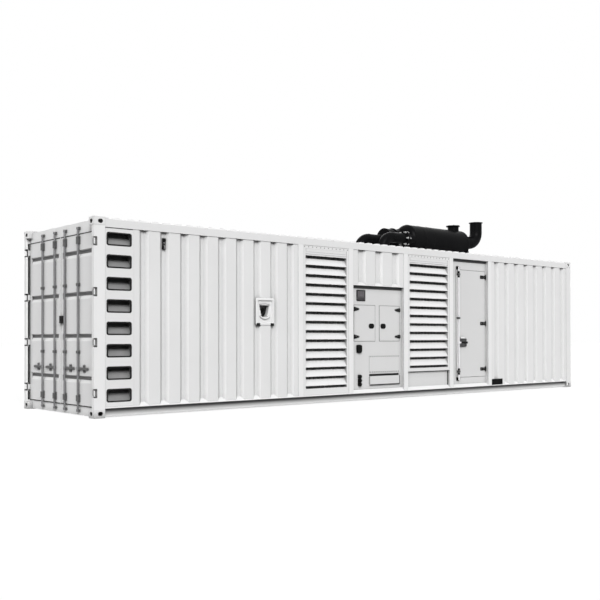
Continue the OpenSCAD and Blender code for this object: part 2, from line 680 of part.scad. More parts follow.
// Rod brackets: blocks on the door that the rods turn in, and a catch behind each handle
bracket_z = [260, 944, 1945, 2600];
bracket_h = [90, 40, 40, 110];
module rod_brackets(places) for (y = places) translate([0, y, 0]) {
    for (i = [0:3]) difference() {
        span([rod_x - rod_r - 4, -25, bracket_z[i] - bracket_h[i] / 2],
            [cargo_inset - seat, 25, bracket_z[i] + bracket_h[i] / 2]);
        translate([rod_x, 0, 0]) cylinder(r = rod_r + rod_play, h = container_h);
    }
    span([rod_x + 7, -catch_in - 27, handle_z - 55], [cargo_inset - seat, -catch_in + 27, handle_z + 55]);
}
module rod_brackets_left() color(dark) left_door() rod_brackets(rod_in);
module rod_brackets_right() color(dark) right_door() {
    rod_brackets(rod_in);
    span([cargo_inset - 30, container_w / 2 - 125, 1380], [cargo_inset - seat, container_w / 2 - 14, 1490]);
}

// Keepers on the header and the sill, open towards the end
module end_keepers(places) for (y = places, z = [rod_z0 + 17, rod_z1 - 17]) translate([0, y, z])
    mirror([0, 1, 0]) rotate([0, 0, -90]) keeper(collar_r + 6, rod_x - 8, beam_x);
module rod_keepers() color(dark) {
    right_door() end_keepers(rod_in);
    left_door() end_keepers(rod_in);
}

// ---- exhaust ----

silencer_z = 3232;
silencer_x0 = 7870;
silencer_x1 = silencer_x0 + silencer_l;
module on_roof() translate([-container_l / 2, 0, 0]) children();
// A round bar along the length, centred at a depth and height
module bar(x0, x1, y, z, r) translate([x0, y, z]) rotate([0, 90, 0]) cylinder(r = r, h = x1 - x0);

// Inlets: near and far pipe, with the far one passing through a round chamber
inlet_y = [-205, 150];
inlet_z = [3212, 3183];
riser_x = [6955, 6640];
inlet_bend = 270;
inlet_t = 5;
flange_t = 22;
flange_r = inlet_r + 45;
joint_x = 7600;
chamber_x = 7330;
chamber_z = 3250;
chamber_r = 193;

// The silencer's outline, turned about its axis: a dished end, the body, and a flat far end
silencer_t = 6;
function silencer_outline(t) = [
    [0, t - 115], [silencer_r * 0.5, t - 115], [silencer_r * 0.72, t - 98], [silencer_r * 0.88 - t, t - 62],
    [silencer_r * 0.97 - t, t - 22], [silencer_r - t, t + 5], [silencer_r - t, silencer_l - 25 - t],
    [silencer_r - 25 - t, silencer_l - t], [0, silencer_l - t]];
stub_r = 122;
stub_x = silencer_x1 - 210;
module silencer() color(black) on_roof() {
    difference() {
        union() {
            translate([silencer_x0, 0, silencer_z]) rotate([0, 90, 0])
                rotate_extrude() polygon(silencer_outline(0));
            bar(joint_x + seat, silencer_x0 + 20, inlet_y[0], inlet_z[0], inlet_r - 8);
            bar(joint_x + seat, joint_x + flange_t, inlet_y[0], inlet_z[0], flange_r);
            bar(chamber_x + 30, silencer_x0 - 40, inlet_y[1], chamber_z, chamber_r);
            bar(chamber_x, chamber_x + 31, inlet_y[1], chamber_z, chamber_r - 20);
            // Inspection stub with a flanged lid
            translate([stub_x, 0, silencer_z]) cylinder(r = stub_r, h = silencer_r + 100);
            translate([stub_x - 8, 0, silencer_z + silencer_r + 82]) cylinder(r = stub_r + 30, h = 22);
        }
        translate([silencer_x0, 0, silencer_z]) rotate([0, 90, 0])
            rotate_extrude() polygon(silencer_outline(silencer_t));
    }
}

// One inlet: a riser through the roof, a bend and a straight run that ends in a flange
module inlet_run(r, x, z, x1) {
    low = top_rail_z1 - 60;
    translate([x, 0, low]) cylinder(r = r, h = z - inlet_bend - low);
    translate([x + inlet_bend, 0, z - inlet_bend]) rotate([90, 0, 180]) rotate_extrude(angle = 90)
        translate([inlet_bend, 0]) circle(r);
    translate([x + inlet_bend, 0, z]) rotate([0, 90, 0]) cylinder(r = r, h = x1 - x - inlet_bend);
}
module inlet(x, y, z, x1) translate([0, y, 0]) difference() {
    union() {
        inlet_run(inlet_r, x, z, x1);
        translate([x, 0, container_h - 6]) cylinder(r = inlet_r + 50, h = 10);
        bar(x1 - flange_t, x1, 0, z, flange_r - 5);
    }
    inlet_run(inlet_r - inlet_t, x, z, x1);
}
module exhaust_inlets() color(black) on_roof() {
    inlet(riser_x[0], inlet_y[0], inlet_z[0], joint_x);
    inlet(riser_x[1], inlet_y[1], inlet_z[1], chamber_x - seat);
}

// The outlet: a hollow pipe that bends from the silencer's end to point up
outlet_z = 3308;
outlet_bend = 250;
outlet_t = 5;
outlet_x = silencer_x1 + seat;
outlet_neck = 345;
outlet_top = 3785;
lip_h = 14;
module outlet_run(r) {
    rotate([0, 90, 0]) cylinder(r = r, h = outlet_neck);
    translate([outlet_neck, 0, outlet_bend]) rotate([90, 0, 0]) rotate_extrude(angle = -90)
        translate([outlet_bend, 0]) circle(r);
    translate([outlet_neck + outlet_bend, 0, outlet_bend])
        cylinder(r = r, h = outlet_top - outlet_z - outlet_bend);
}
module exhaust_outlet() color(black) on_roof() translate([outlet_x, 0, outlet_z]) difference() {
    union() {
        outlet_run(outlet_r);
        rotate([0, 90, 0]) cylinder(r = outlet_r + 30, h = flange_t);
        translate([outlet_neck + outlet_bend, 0, outlet_top - outlet_z - lip_h])
            cylinder(r = outlet_r + 20, h = lip_h);
    }
    outlet_run(outlet_r - outlet_t);
}

// Cradles that carry the silencer on the roof's crests
saddle_w = 285;
module silencer_saddles() color(black) on_roof() for (x = [silencer_x0 + 300, silencer_x1 - 85])
    difference() {
        span([x, -saddle_w, container_h - 6], [x + 60, saddle_w, silencer_z - 150]);
        translate([x - 1, 0, silencer_z]) rotate([0, 90, 0]) cylinder(r = silencer_r + seat, h = 62);
    }

bottom_castings();
top_castings();
door_end_posts();
far_end_posts();
bottom_rails();
top_rails();
cross_members();
floor_plate();
roof_panel();
door_header();
door_sill();
far_end_header();
far_end_sill();
far_end_wall();
vent_panels();
vent_slats();
front_wall_a();
front_wall_b();
front_mullions();
front_louvres();
kick_panel();
rear_walls();
rear_mullions();
rear_louvres();
bay_upper_panel();
bay_ledge();
control_panel();
control_cabinet();
control_door_left();
control_door_right();
control_hinges();
control_lock_left();
control_lock_right();
display_window();
panel_sockets();
cable_cover();
door_frame();
personnel_door();
personnel_hinges();
personnel_keepers();
personnel_rod();
rod_guides();
fuel_box();
fuel_filler();
drain_box();
door_holdback();
cargo_door_left();
cargo_door_right();
cargo_hinges();
rod_keepers();
rod_brackets_left();
rod_brackets_right();
lock_rod_1();
lock_rod_2();
lock_rod_3();
lock_rod_4();
silencer();
exhaust_inlets();
exhaust_outlet();
silencer_saddles();
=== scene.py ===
"""Looks for the containerised diesel generator set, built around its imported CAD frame.

Row frame, in metres: +X runs away from the cargo doors, the control side faces -Y, +Z is up.
"""
import json
import math

import bmesh
import bpy
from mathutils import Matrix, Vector


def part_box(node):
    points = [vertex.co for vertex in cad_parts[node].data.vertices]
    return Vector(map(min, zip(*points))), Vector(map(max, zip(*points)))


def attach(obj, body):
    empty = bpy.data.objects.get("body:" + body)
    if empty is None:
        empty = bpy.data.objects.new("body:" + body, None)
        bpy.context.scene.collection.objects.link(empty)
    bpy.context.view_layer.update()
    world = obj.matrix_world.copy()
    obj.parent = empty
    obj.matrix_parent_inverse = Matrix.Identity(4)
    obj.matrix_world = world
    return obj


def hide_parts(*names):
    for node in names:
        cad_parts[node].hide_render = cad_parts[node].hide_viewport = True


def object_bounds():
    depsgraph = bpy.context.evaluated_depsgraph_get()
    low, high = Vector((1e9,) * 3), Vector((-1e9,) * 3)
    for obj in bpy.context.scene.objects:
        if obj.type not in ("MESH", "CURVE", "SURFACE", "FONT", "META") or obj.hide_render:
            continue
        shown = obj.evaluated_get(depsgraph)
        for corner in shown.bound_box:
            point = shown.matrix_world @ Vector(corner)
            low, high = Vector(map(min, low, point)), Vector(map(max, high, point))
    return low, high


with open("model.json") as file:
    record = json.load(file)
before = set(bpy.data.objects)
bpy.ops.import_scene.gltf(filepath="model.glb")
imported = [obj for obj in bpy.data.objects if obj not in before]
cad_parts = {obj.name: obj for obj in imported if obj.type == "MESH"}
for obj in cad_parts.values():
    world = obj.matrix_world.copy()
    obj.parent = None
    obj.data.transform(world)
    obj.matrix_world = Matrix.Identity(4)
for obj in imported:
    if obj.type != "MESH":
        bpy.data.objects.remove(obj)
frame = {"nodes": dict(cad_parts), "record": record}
cad_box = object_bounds()
nodes = frame["nodes"]
DOOR_END, CONTROL_SIDE = cad_box[0][0], cad_box[0][1]
FAR_END, REAR_SIDE = cad_box[1][0], cad_box[1][1]


# ---- camera: the angle that the object is seen from ----

camera_data = bpy.data.cameras.new("camera")
camera = bpy.data.objects.new("camera", camera_data)
bpy.context.scene.collection.objects.link(camera)
bpy.context.scene.camera = camera
camera.location = (-11.860, -12.415, 1.148)
CAMERA_YAW, CAMERA_PITCH, CAMERA_ROLL = 0.6973, 0.008, 0.0015
camera.rotation_euler = (math.pi / 2 + CAMERA_PITCH, CAMERA_ROLL, -CAMERA_YAW)
camera_data.lens = 51.776
camera_data.sensor_width = 36
camera_data.shift_x = 0.019
camera_data.shift_y = 0.0518
camera_data.clip_end = 500


# ---- materials ----

class Shader:
    """A node tree, emptied, with short ways to add its nodes and to join them."""

    def __init__(self, tree):
        self.tree = tree
        tree.nodes.clear()

    def give(self, socket, value):
        """Joins a socket to this one, or sets a number or a colour; one number is a grey."""
        if isinstance(value, bpy.types.NodeSocket):
            self.tree.links.new(value, socket)
        elif hasattr(socket.default_value, "__len__"):
            three = value if isinstance(value, tuple) else (value,) * 3
            socket.default_value = (*three, 1)[:len(socket.default_value)]
        else:
            socket.default_value = value

    def add(self, kind, **values):
        """A node; each value goes to its setting of that name, or else to its input."""
        made = self.tree.nodes.new(kind)
        for key, value in values.items():
            if hasattr(made, key):
                setattr(made, key, value)
            else:
                self.give(made.inputs[key.replace("_", " ")], value)
        return made

    def maths(self, operation, *values):
        """One sum on sockets or numbers."""
        made = self.add("ShaderNodeMath", operation=operation)
        for socket, value in zip(made.inputs, values):
            self.give(socket, value)
        return made.outputs[0]

    def ramp(self, value, low, high, to_low=0.0, to_high=1.0):
        """A value that goes from one number to another while its input goes from low to high."""
        return self.add("ShaderNodeMapRange", Value=value, From_Min=low, From_Max=high,
                        To_Min=to_low, To_Max=to_high).outputs[0]

    def blend(self, share, one, other):
        """A colour between two."""
        mixed = self.add("ShaderNodeMix", data_type="RGBA")
        for place, value in ((0, share), (6, one), (7, other)):
            self.give(mixed.inputs[place], value)
        return mixed.outputs[2]

    def place(self):
        """Where a point is on the object: its X, Y and Z."""
        spot = self.add("ShaderNodeTexCoord").outputs["Object"]
        return self.add("ShaderNodeSeparateXYZ", Vector=spot).outputs


def new_material(name):
    """A material and its emptied node tree."""
    mat = bpy.data.materials.new(name)
    mat.use_nodes = True
    return mat, Shader(mat.node_tree)


# How far away a surface still darkens a corner with painted shade, and how much the gloss varies
PAINTED_SHADE_REACH, GLOSS_SPREAD = 0.14, 0.12
# The colour of the painted shadow under the bottom rails' ledges and in the cargo doors' grooves
PAINTED_SHADOW = 0.10


def finish(name, light, dark, rough=0.5, metal=0.0, shine=0.3, patch=1.5, grain=60.0, bump=0.15,
           depth=0.0005, stretch=1, edge=None, rim=0.003, hollow=None, painted_shade=None, corner=0.30,
           shadow_mask=None):
    """A painted, cast or rolled surface: patches of two near colours, varied gloss, a fine grain.

    edge is the colour that worn edges take, and rim is how far in from an edge it reaches.
    hollow is the colour inside the corner castings, behind their apertures.
    The painted shade is the colour painted as shade into corners, recesses and under ledges, and corner
    is how open a place is, from 0 to 1, where it covers the paint. The shadow mask is a function that
    says where shadow is painted."""
    mat, shader = new_material(name)
    add, ramp, blend = shader.add, shader.ramp, shader.blend
    spot = add("ShaderNodeMapping", Vector=add("ShaderNodeTexCoord").outputs["Object"],
               Scale=stretch).outputs[0]
    patches = add("ShaderNodeTexNoise", Vector=spot, Scale=patch, Detail=5.0, Roughness=0.6)
    fine = add("ShaderNodeTexNoise", Vector=spot, Scale=grain, Detail=3.0,
               Roughness=0.55).outputs["Fac"]
    normal = add("ShaderNodeBevel", samples=4, Radius=rim).outputs[0]
    colour = blend(ramp(patches.outputs["Fac"], 0.35, 0.75), light, dark)
    if edge:
        turn = add("ShaderNodeVectorMath", operation="DOT_PRODUCT")
        shader.give(turn.inputs[0], normal)
        shader.give(turn.inputs[1], add("ShaderNodeNewGeometry").outputs["Normal"])
        worn = shader.maths("MULTIPLY", ramp(turn.outputs["Value"], 0.995, 0.90),
                            ramp(fine, 0.40, 0.60))
        colour = blend(worn, colour, edge)
    # Painted shade: darker where ambient occlusion finds the surface hemmed in by corners, recesses and
    # ledges
    if painted_shade:
        open_sky = add("ShaderNodeAmbientOcclusion", samples=6, Distance=PAINTED_SHADE_REACH)
        colour = blend(ramp(open_sky.outputs["AO"], 0.97, corner), colour, painted_shade)
    # Painted shadow where the mask says
    if shadow_mask:
        colour = blend(shadow_mask(shader), colour, PAINTED_SHADOW)
    if hollow:
        colour = blend(inside_castings(shader), colour, hollow)
    gloss = ramp(fine, 0.3, 0.7, max(rough - GLOSS_SPREAD, 0.02), min(rough + GLOSS_SPREAD, 1.0))
    if bump:
        normal = add("ShaderNodeBump", Strength=bump, Distance=depth, Height=fine,
                     Normal=normal).outputs[0]
    surface = add("ShaderNodeBsdfPrincipled", Base_Color=colour, Metallic=metal, Roughness=gloss,
                  Specular_IOR_Level=shine, Normal=normal)
    add("ShaderNodeOutputMaterial", Surface=surface.outputs[0])
    return mat


# The bottom rails' webs reach from their feet to their ledges, and their painted shadow is full above the
# second of these heights
LEDGE_Z, FULL_SHADOW_Z, RAIL_FOOT_Z = 0.136, 0.101, 0.027


def under_ledges(shader):
    """1 right under the bottom rails' ledges, fading to 0 at the rails' feet: where their shadow is
    painted.
    """
    z = shader.place()["Z"]
    web = shader.maths("COMPARE", z, (LEDGE_Z + RAIL_FOOT_Z) / 2, (LEDGE_Z - RAIL_FOOT_Z) / 2 + 0.001)
    return shader.maths("MULTIPLY", web, shader.ramp(z, RAIL_FOOT_Z, FULL_SHADOW_Z))


# The cargo doors' leaves begin this far from the door end
LEAF_X = 0.068
GROOVE_DEPTH, GROOVE_SPREAD = 0.0255, 0.0035


def in_grooves(shader):
    """1 on the floors of the cargo doors' grooves, where their shadow is painted."""
    return shader.maths("COMPARE", shader.place()["X"], DOOR_END + LEAF_X + GROOVE_DEPTH, GROOVE_SPREAD)


CASTING, CASTING_SKIN = (0.178, 0.162, 0.118), 0.006
CONTAINER_TOP = 2.896


def inside_castings(shader):
    """1 behind a corner casting's faces, where its steel is left bare, and 0 outside."""
    inside = 1.0
    middle = CONTAINER_TOP / 2
    halves = (FAR_END, REAR_SIDE, middle)
    for spot, centre, half, size in zip(shader.place(), (0.0, 0.0, middle), halves, CASTING):
        distance = shader.maths("ABSOLUTE", shader.maths("SUBTRACT", spot, centre))
        near = shader.maths("COMPARE", distance, half - size / 2, size / 2 - CASTING_SKIN)
        inside = shader.maths("MULTIPLY", inside, near)
    return inside


PAINT = dict(light=0.84, dark=0.80, rough=0.42, patch=0.8, grain=90, shine=0.35, edge=0.74,
             rim=0.004, hollow=0.10)
FINISHES = {
    "enclosure_paint": dict(PAINT, painted_shade=0.22),
    "wall_paint": dict(PAINT, painted_shade=0.45, corner=0.62),
    "roof_paint": dict(PAINT, painted_shade=0.60),
    # Painted shadow under the bottom rails' ledges, on top of painted shade
    "rail_paint": dict(PAINT, painted_shade=0.60, shadow_mask=under_ledges),
    # Painted shadow on the cargo doors' groove floors, on top of painted shade
    "door_paint": dict(PAINT, painted_shade=0.26, shadow_mask=in_grooves),
    # A lit copy of the enclosure paint, lighter: painted light on the mullions, the door end's posts,
    # header and sill, and other parts that stand out, with lighter painted shade
    "lit_paint": dict(PAINT, light=0.90, dark=0.87, rough=0.40, edge=0.78, hollow=None, painted_shade=0.55),
    # A shaded copy of the enclosure paint, darker: painted shade on the panels and doors set back in the
    # bays
    "shaded_panel_paint": dict(PAINT, light=0.74, dark=0.71, edge=0.68, hollow=None, painted_shade=0.30, corner=0.42),
    # A whiter copy of the paint: painted highlight on the ends of the roof's crests
    "crest_highlight": dict(light=0.96, dark=0.93, rough=0.7, patch=3, grain=120),
    "underframe_paint": dict(light=(0.10, 0.10, 0.11), dark=(0.06, 0.06, 0.065), rough=0.7, shine=0.5),
    "floor_steel": dict(light=(0.17, 0.17, 0.18), dark=0.11, rough=0.6, shine=0.5, metal=0.3, patch=2),
    "dark_paint": dict(light=0.10, dark=0.07, rough=0.6, patch=4, edge=0.2),
    "dark_steel": dict(light=0.12, dark=0.07, metal=0.4, patch=9, grain=220, edge=0.3),
    "zinc_steel": dict(
        light=(0.21, 0.21, 0.215), dark=(0.14, 0.14, 0.145), metal=0.3, patch=12, grain=180,
        stretch=(1, 1, 0.15), edge=0.4),
    "bright_zinc": dict(light=0.42, dark=0.30, shine=0.5, metal=0.2, patch=30, grain=400),
    "pale_steel": dict(
        light=(0.88, 0.87, 0.89), dark=(0.82, 0.81, 0.83), rough=0.45, shine=0.35, patch=9, grain=200,
        edge=0.7),
    "black_plastic": dict(
        light=0.010, dark=0.006, shine=0.05, patch=10, grain=400, edge=0.035, rim=0.0015),
    "rubber": dict(light=0.02, dark=0.012, rough=0.8, shine=0.15, patch=14, grain=500, bump=0.3),
    "vent_shade": dict(light=0.27, dark=0.22, rough=0.55, patch=4, painted_shade=0.14, corner=0.20),
    "case_paint": dict(
        light=(0.06, 0.06, 0.062), dark=(0.035, 0.035, 0.036), patch=12, grain=300, edge=0.16),
    "foam": dict(
        light=0.22, dark=0.16, rough=0.95, shine=0.05, patch=8, grain=260, bump=0.6, depth=0.002),
    "exhaust_black": dict(
        light=(0.005, 0.005, 0.0055), dark=(0.003, 0.003, 0.0035), rough=0.36, shine=0.03, patch=5,
        grain=160, bump=0.25, edge=0.03, rim=0.005),
    "display_glass": dict(
        light=(0.09, 0.085, 0.09), dark=(0.07, 0.065, 0.07), rough=0.2, patch=6, grain=50, bump=0.0),
    "screen": dict(
        light=(0.13, 0.12, 0.13), dark=(0.09, 0.085, 0.09), rough=0.2, patch=9, bump=0.0,
        stretch=(9, 1, 1)),
    "cabinet_paint": dict(light=(0.70, 0.70, 0.69), dark=(0.62, 0.62, 0.61), shine=0.5, patch=3),
}
MATERIALS = {name: finish(name, **values) for name, values in FINISHES.items()}

# Nodes that look other than their paint's plain name says
LOOKS = {
    "pale_steel": ["personnel_rod"],
    "black_plastic": ["personnel_keepers"],
    "dark_steel": ["rod_keepers"],
    "exhaust_black": ["drain_box"],
    "vent_shade": ["vent_slats"],
    "rail_paint": ["bottom_rails"],
    "roof_paint": ["roof_panel"],
    "door_paint": ["cargo_door_left", "cargo_door_right"],
    "lit_paint": ["front_mullions", "rear_mullions", "door_header", "door_sill", "door_end_posts"],
    "shaded_panel_paint": ["cable_cover", "control_panel", "control_door_left", "control_door_right",
                    "personnel_door", "door_frame", "kick_panel"],
    "wall_paint": ["front_wall_a", "front_wall_b", "bay_upper_panel", "rear_walls", "far_end_wall"],
}


def clothe(obj, mat):
    """Gives every material slot of an object this material."""
    if not obj.material_slots:
        obj.data.materials.append(mat)
    for place in obj.material_slots:
        place.material = mat


for subpart in frame["record"]["subparts"]:
    clothe(nodes[subpart["node"]], MATERIALS[subpart["material_slot"]])
for look, dressed in LOOKS.items():
    for node in dressed:
        clothe(nodes[node], MATERIALS[look])


# ---- shapes ----

def front(x, depth, z):
    """A point by its distance from the door end, its depth from the control side, its height."""
    return DOOR_END + x, CONTROL_SIDE + depth, z


def rear(x, depth, z):
    """The same, with its depth from the rear side."""
    return DOOR_END + x, REAR_SIDE - depth, z


def panel(x, depth, z):
    """The same, with its depth from the control panel's face."""
    return front(x, PANEL_Y + depth, z)


def fuel_box(x, depth, z):
    """A point by its place from the middle of the fuel box, and its depth."""
    return front(FUEL_X + x, depth, FUEL_Z + z)


def roof(x, y, z):
    """The same as front, with its y in the row frame."""
    return DOOR_END + x, y, z


def circle(radius, steps):
    angles = [2 * math.pi * i / steps for i in range(steps)]
    return [(radius * math.cos(a), radius * math.sin(a)) for a in angles]


def round_quad(low_w, high_w, height, radius, steps=4):
    """A four-sided outline with round corners, centred: low_w wide below and high_w wide above."""
    corners = [(low_w / 2, -height / 2), (high_w / 2, height / 2), (-high_w / 2, height / 2),
               (-low_w / 2, -height / 2)]
    outline = []
    for i, (a, b) in enumerate(corners):
        ca, cb = a - math.copysign(radius, a), b - math.copysign(radius, b)
        for k in range(steps + 1):
            angle = math.pi / 2 * (i - 1 + k / steps)
            outline.append((ca + radius * math.cos(angle), cb + radius * math.sin(angle)))
    return outline


def round_rect(width, height, radius, steps=4):
    return round_quad(width, width, height, radius, steps)


def rect(a0, b0, a1, b1):
    return [(a0, b0), (a1, b0), (a1, b1), (a0, b1)]


def lay(outline, axis, at, centre=(0, 0, 0)):
    """A flat outline set square to an axis, at one place along it."""
    x, y, z = centre
    if axis == "x":
        return [(x + at, y + a, z + b) for a, b in outline]
    if axis == "y":
        return [(x + a, y + at, z + b) for a, b in outline]
    return [(x + a, y + b, z + at) for a, b in outline]


class Shape:
    """One mesh made of lofted forms; place is one of the functions above."""

    def __init__(self, place=front):
        self.mesh = bmesh.new()
        self.place = place

    def loft(self, loops, hoop=False):
        """Joins loops of equally many points. A hoop closes on itself, the rest get two caps."""
        rows = [[self.mesh.verts.new(self.place(*point)) for point in loop] for loop in loops]
        if hoop:
            rows.append(rows[0])
        else:
            self.mesh.faces.new(rows[0])
            self.mesh.faces.new(rows[-1])
        for one, two in zip(rows, rows[1:]):
            for i in range(len(one)):
                j = (i + 1) % len(one)
                self.mesh.faces.new((one[i], one[j], two[j], two[i]))

    def prism(self, outline, axis, low, high, centre=(0, 0, 0)):
        self.loft([lay(outline, axis, at, centre) for at in (low, high)])

    def block(self, low, high):
        self.prism(rect(low[0], low[1], high[0], high[1]), "z", low[2], high[2])

    def ring(self, outer, inner, axis, low, high, centre=(0, 0, 0)):
        """A flat frame between two outlines."""
        self.loft([lay(outer, axis, low, centre), lay(inner, axis, low, centre),
                   lay(inner, axis, high, centre), lay(outer, axis, high, centre)], hoop=True)

    def turned(self, profile, axis, centre, steps=32, hoop=False):
        """A round form from pairs of radius and place along the axis."""
        self.loft([lay(circle(radius, steps), axis, at, centre) for radius, at in profile], hoop)

    def bolt(self, axis, centre, size, out=-1):
        """A hexagon head on a washer; out is the way that the head points along the axis."""
        high = out * size
        self.turned([(size * 1.3, 0), (size * 1.3, high * 0.25)], axis, centre, 14)
        self.turned([(size, high * 0.2), (size, high * 0.75), (size * 0.8, high * 0.95)], axis,
                    centre, 6)

    def tube(self, path, radius, steps=12, hoop=False):
        """A round bar bent along a path."""
        points = [Vector(point) for point in path]
        count = len(points)
        loops, before, side = [], None, None
        for i, point in enumerate(points):
            ahead = points[(i + 1) % count] if hoop or i + 1 < count else point
            behind = points[i - 1] if hoop or i else point
            way = (ahead - behind).normalized()
            side = way.orthogonal().normalized() if before is None else (
                before.rotation_difference(way) @ side)
            other = way.cross(side)
            loops.append([point + radius * (side * math.cos(a) + other * math.sin(a))
                          for a in (2 * math.pi * k / steps for k in range(steps))])
            before = way
        self.loft(loops, hoop)


# The material slots of the looks that are not slots themselves
SLOTS = {"rubber": "black_plastic", "foam": "black_plastic", "case_paint": "black_plastic",
         "bright_zinc": "zinc_steel", "screen": "display_glass", "vent_shade": "dark_paint",
         "crest_highlight": "enclosure_paint", "lit_paint": "enclosure_paint"}


def add_piece(name, shape, look, bevel=0.0, body="container", slot=None, crisp=35):
    """Turns a finished shape into a piece that rides on a body."""
    slot = slot or SLOTS.get(look, look)
    bmesh.ops.recalc_face_normals(shape.mesh, faces=shape.mesh.faces)
    data = bpy.data.meshes.new(name)
    shape.mesh.to_mesh(data)
    shape.mesh.free()
    data.shade_smooth()
    data.set_sharp_from_angle(angle=math.radians(crisp))
    piece = bpy.data.objects.new(name, data)
    bpy.context.scene.collection.objects.link(piece)
    if bevel:
        rounded = piece.modifiers.new("rounded", "BEVEL")
        rounded.width = bevel
        rounded.segments = 2
        rounded.limit_method = "ANGLE"
        rounded.angle_limit = math.radians(crisp)
    clothe(piece, MATERIALS[look])
    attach(piece, body)
    return piece


# ---- cargo doors: x from the door end, y from the leaf's own side ----

# The hair's breadth that a flat piece stands off the surface behind it
HAIR = 0.0003
LEAF_Y0, LEAF_Y1, LEAF_Z0, LEAF_Z1 = 0.080, 1.211, 0.150, 2.695
HINGE_Z, NOTCH_H = [0.360 + i * 0.72667 for i in range(4)], 0.130
POST_IN = 0.0755
# The lock rods, the heights of their big and small brackets, and their handles
ROD_X, ROD_Y = 0.046, [0.599, 1.042]
BIG_BRACKETS, SMALL_BRACKETS = [0.260, 2.600], [0.944, 1.945]
HANDLE_Z, HANDLE_L, CATCH_IN = 0.700, 0.310, 0.175
SIDES = {"left": rear, "right": front}

# The rubber round a leaf: half its depth, how far it laps onto the leaf, and how far it
# stands out past the leaf's ends and past its hinge side
SEAL_HALF, SEAL_LAP, SEAL_OUT, SEAL_SIDE_OUT = 0.004, 0.008, 0.0045, 0.0035


def make_door_seals(side, place):
    """Rubber along a leaf's top, foot and hinge side, in front of its rim."""
    seal = Shape(place)
    x0, x1 = LEAF_X - SEAL_HALF, LEAF_X + SEAL_HALF
    outer_y = LEAF_Y0 - SEAL_SIDE_OUT
    foot, head = LEAF_Z0 + SEAL_LAP, LEAF_Z1 - SEAL_LAP
    seal.block((x0, outer_y, head), (x1, LEAF_Y1, LEAF_Z1 + SEAL_OUT))
    seal.block((x0, outer_y, LEAF_Z0 - SEAL_OUT), (x1, LEAF_Y1, foot))
    seal.block((x0, outer_y, foot), (x1, LEAF_Y0 + SEAL_LAP, head))
    add_piece("cargo_door_seal_" + side, seal, "rubber", 0.0015, "cargo_door_" + side)


def make_centre_strip():
    """A folded strip on the right leaf's free edge, over the gap between the leaves."""
    strip = Shape(front)
    strip.prism([(0.0600, 1.2040), (0.0580, 1.2060), (0.0580, 1.2210), (0.0600, 1.2235),
                 (LEAF_X, 1.2235), (LEAF_X, 1.2112), (LEAF_X, 1.2040)], "z", LEAF_Z0, LEAF_Z1)
    add_piece("centre_strip", strip, "enclosure_paint", body="cargo_door_right")


SLEEVE_HALF = 0.041
# The dark band round a hinge notch, painted as the notch's shadow: its width, and where it begins and
# ends on the post's side
NOTCH_SHADOW_LAP, NOTCH_SHADOW_X0, NOTCH_SHADOW_X1 = 0.016, 0.004, 0.052


def make_hinge_covers(side, place):
    """Black sleeves on the hinge blades, and a thin dark band on the post round each hinge notch: painted
    shadow of the notch's edges.
    """
    sleeves, trims = Shape(place), Shape(place)
    half, inner, bend = NOTCH_H / 2, NOTCH_H / 2 - NOTCH_SHADOW_LAP, NOTCH_SHADOW_X1 - 0.011
    for z in HINGE_Z:
        sleeves.prism([(0.025, 0.045), (0.025, 0.084), (0.039, 0.0835), (0.039, 0.045)], "z",
                      z - SLEEVE_HALF, z + SLEEVE_HALF)
        trims.prism([(NOTCH_SHADOW_X0, half), (NOTCH_SHADOW_X1, half), (NOTCH_SHADOW_X1, -half), (NOTCH_SHADOW_X0, -half),
                     (NOTCH_SHADOW_X0, -inner), (bend, -inner), (bend, inner), (NOTCH_SHADOW_X0, inner)], "y",
                    0.0008, 0.0032, (0, 0, z))
    add_piece("hinge_sleeves_" + side, sleeves, "rubber", 0.001, "cargo_door_" + side)
    add_piece("hinge_notch_shadows_" + side, trims, "dark_paint", 0.0006)


# The hasps' front and back faces
HASP_X0, HASP_X1 = 0.0535, 0.0615


def make_rod_handles(side, place):
    """A dipped grip on each lock rod's handle, and a hasp over the catch behind it."""
    rods = {"left": ("lock_rod_1", "lock_rod_2"), "right": ("lock_rod_4", "lock_rod_3")}[side]
    hasps = Shape(place)
    for rod, y in zip(rods, ROD_Y):
        grip = Shape(place)
        grip.prism(round_rect(0.0138, 0.036, 0.006), "y", y - HANDLE_L - 0.001, y - 0.024,
                   (ROD_X, 0, HANDLE_Z))
        add_piece(rod + "_grip", grip, "dark_steel", 0.001, rod, slot="black_plastic")
        mid = (0, y - CATCH_IN, HANDLE_Z)
        hasps.prism([(-0.030, -0.046), (0.030, -0.046), (0.030, -0.022), (0.016, 0.012), (0.014, 0.056),
                     (-0.012, 0.056), (-0.018, 0.012), (-0.030, -0.022)], "x", HASP_X0, HASP_X1, mid)
        for up in (0.042, -0.032):
            hasps.bolt("x", (HASP_X0, mid[1], HANDLE_Z + up), 0.007)
    add_piece("handle_hasps_" + side, hasps, "dark_paint", 0.001, "cargo_door_" + side)


# The middle of the lock box's face, its width and its height
LOCK_BOX_FACE, LOCK_BOX_W, LOCK_BOX_H = (0.0385, 1.1495, 1.435), 0.111, 0.110


def make_lock_box():
    """A black lid with a key cover on the lock box."""
    lid = Shape(front)
    mid, lap = LOCK_BOX_FACE, 0.004
    lid.prism(round_rect(LOCK_BOX_W + lap, LOCK_BOX_H + lap, 0.010), "x", -0.004, 0.006, mid)
    lid.turned([(0.020, -0.0035), (0.020, -0.008), (0.017, -0.010)], "x", mid, 24)
    add_piece("lock_box_lid", lid, "black_plastic", 0.0015, "cargo_door_right")


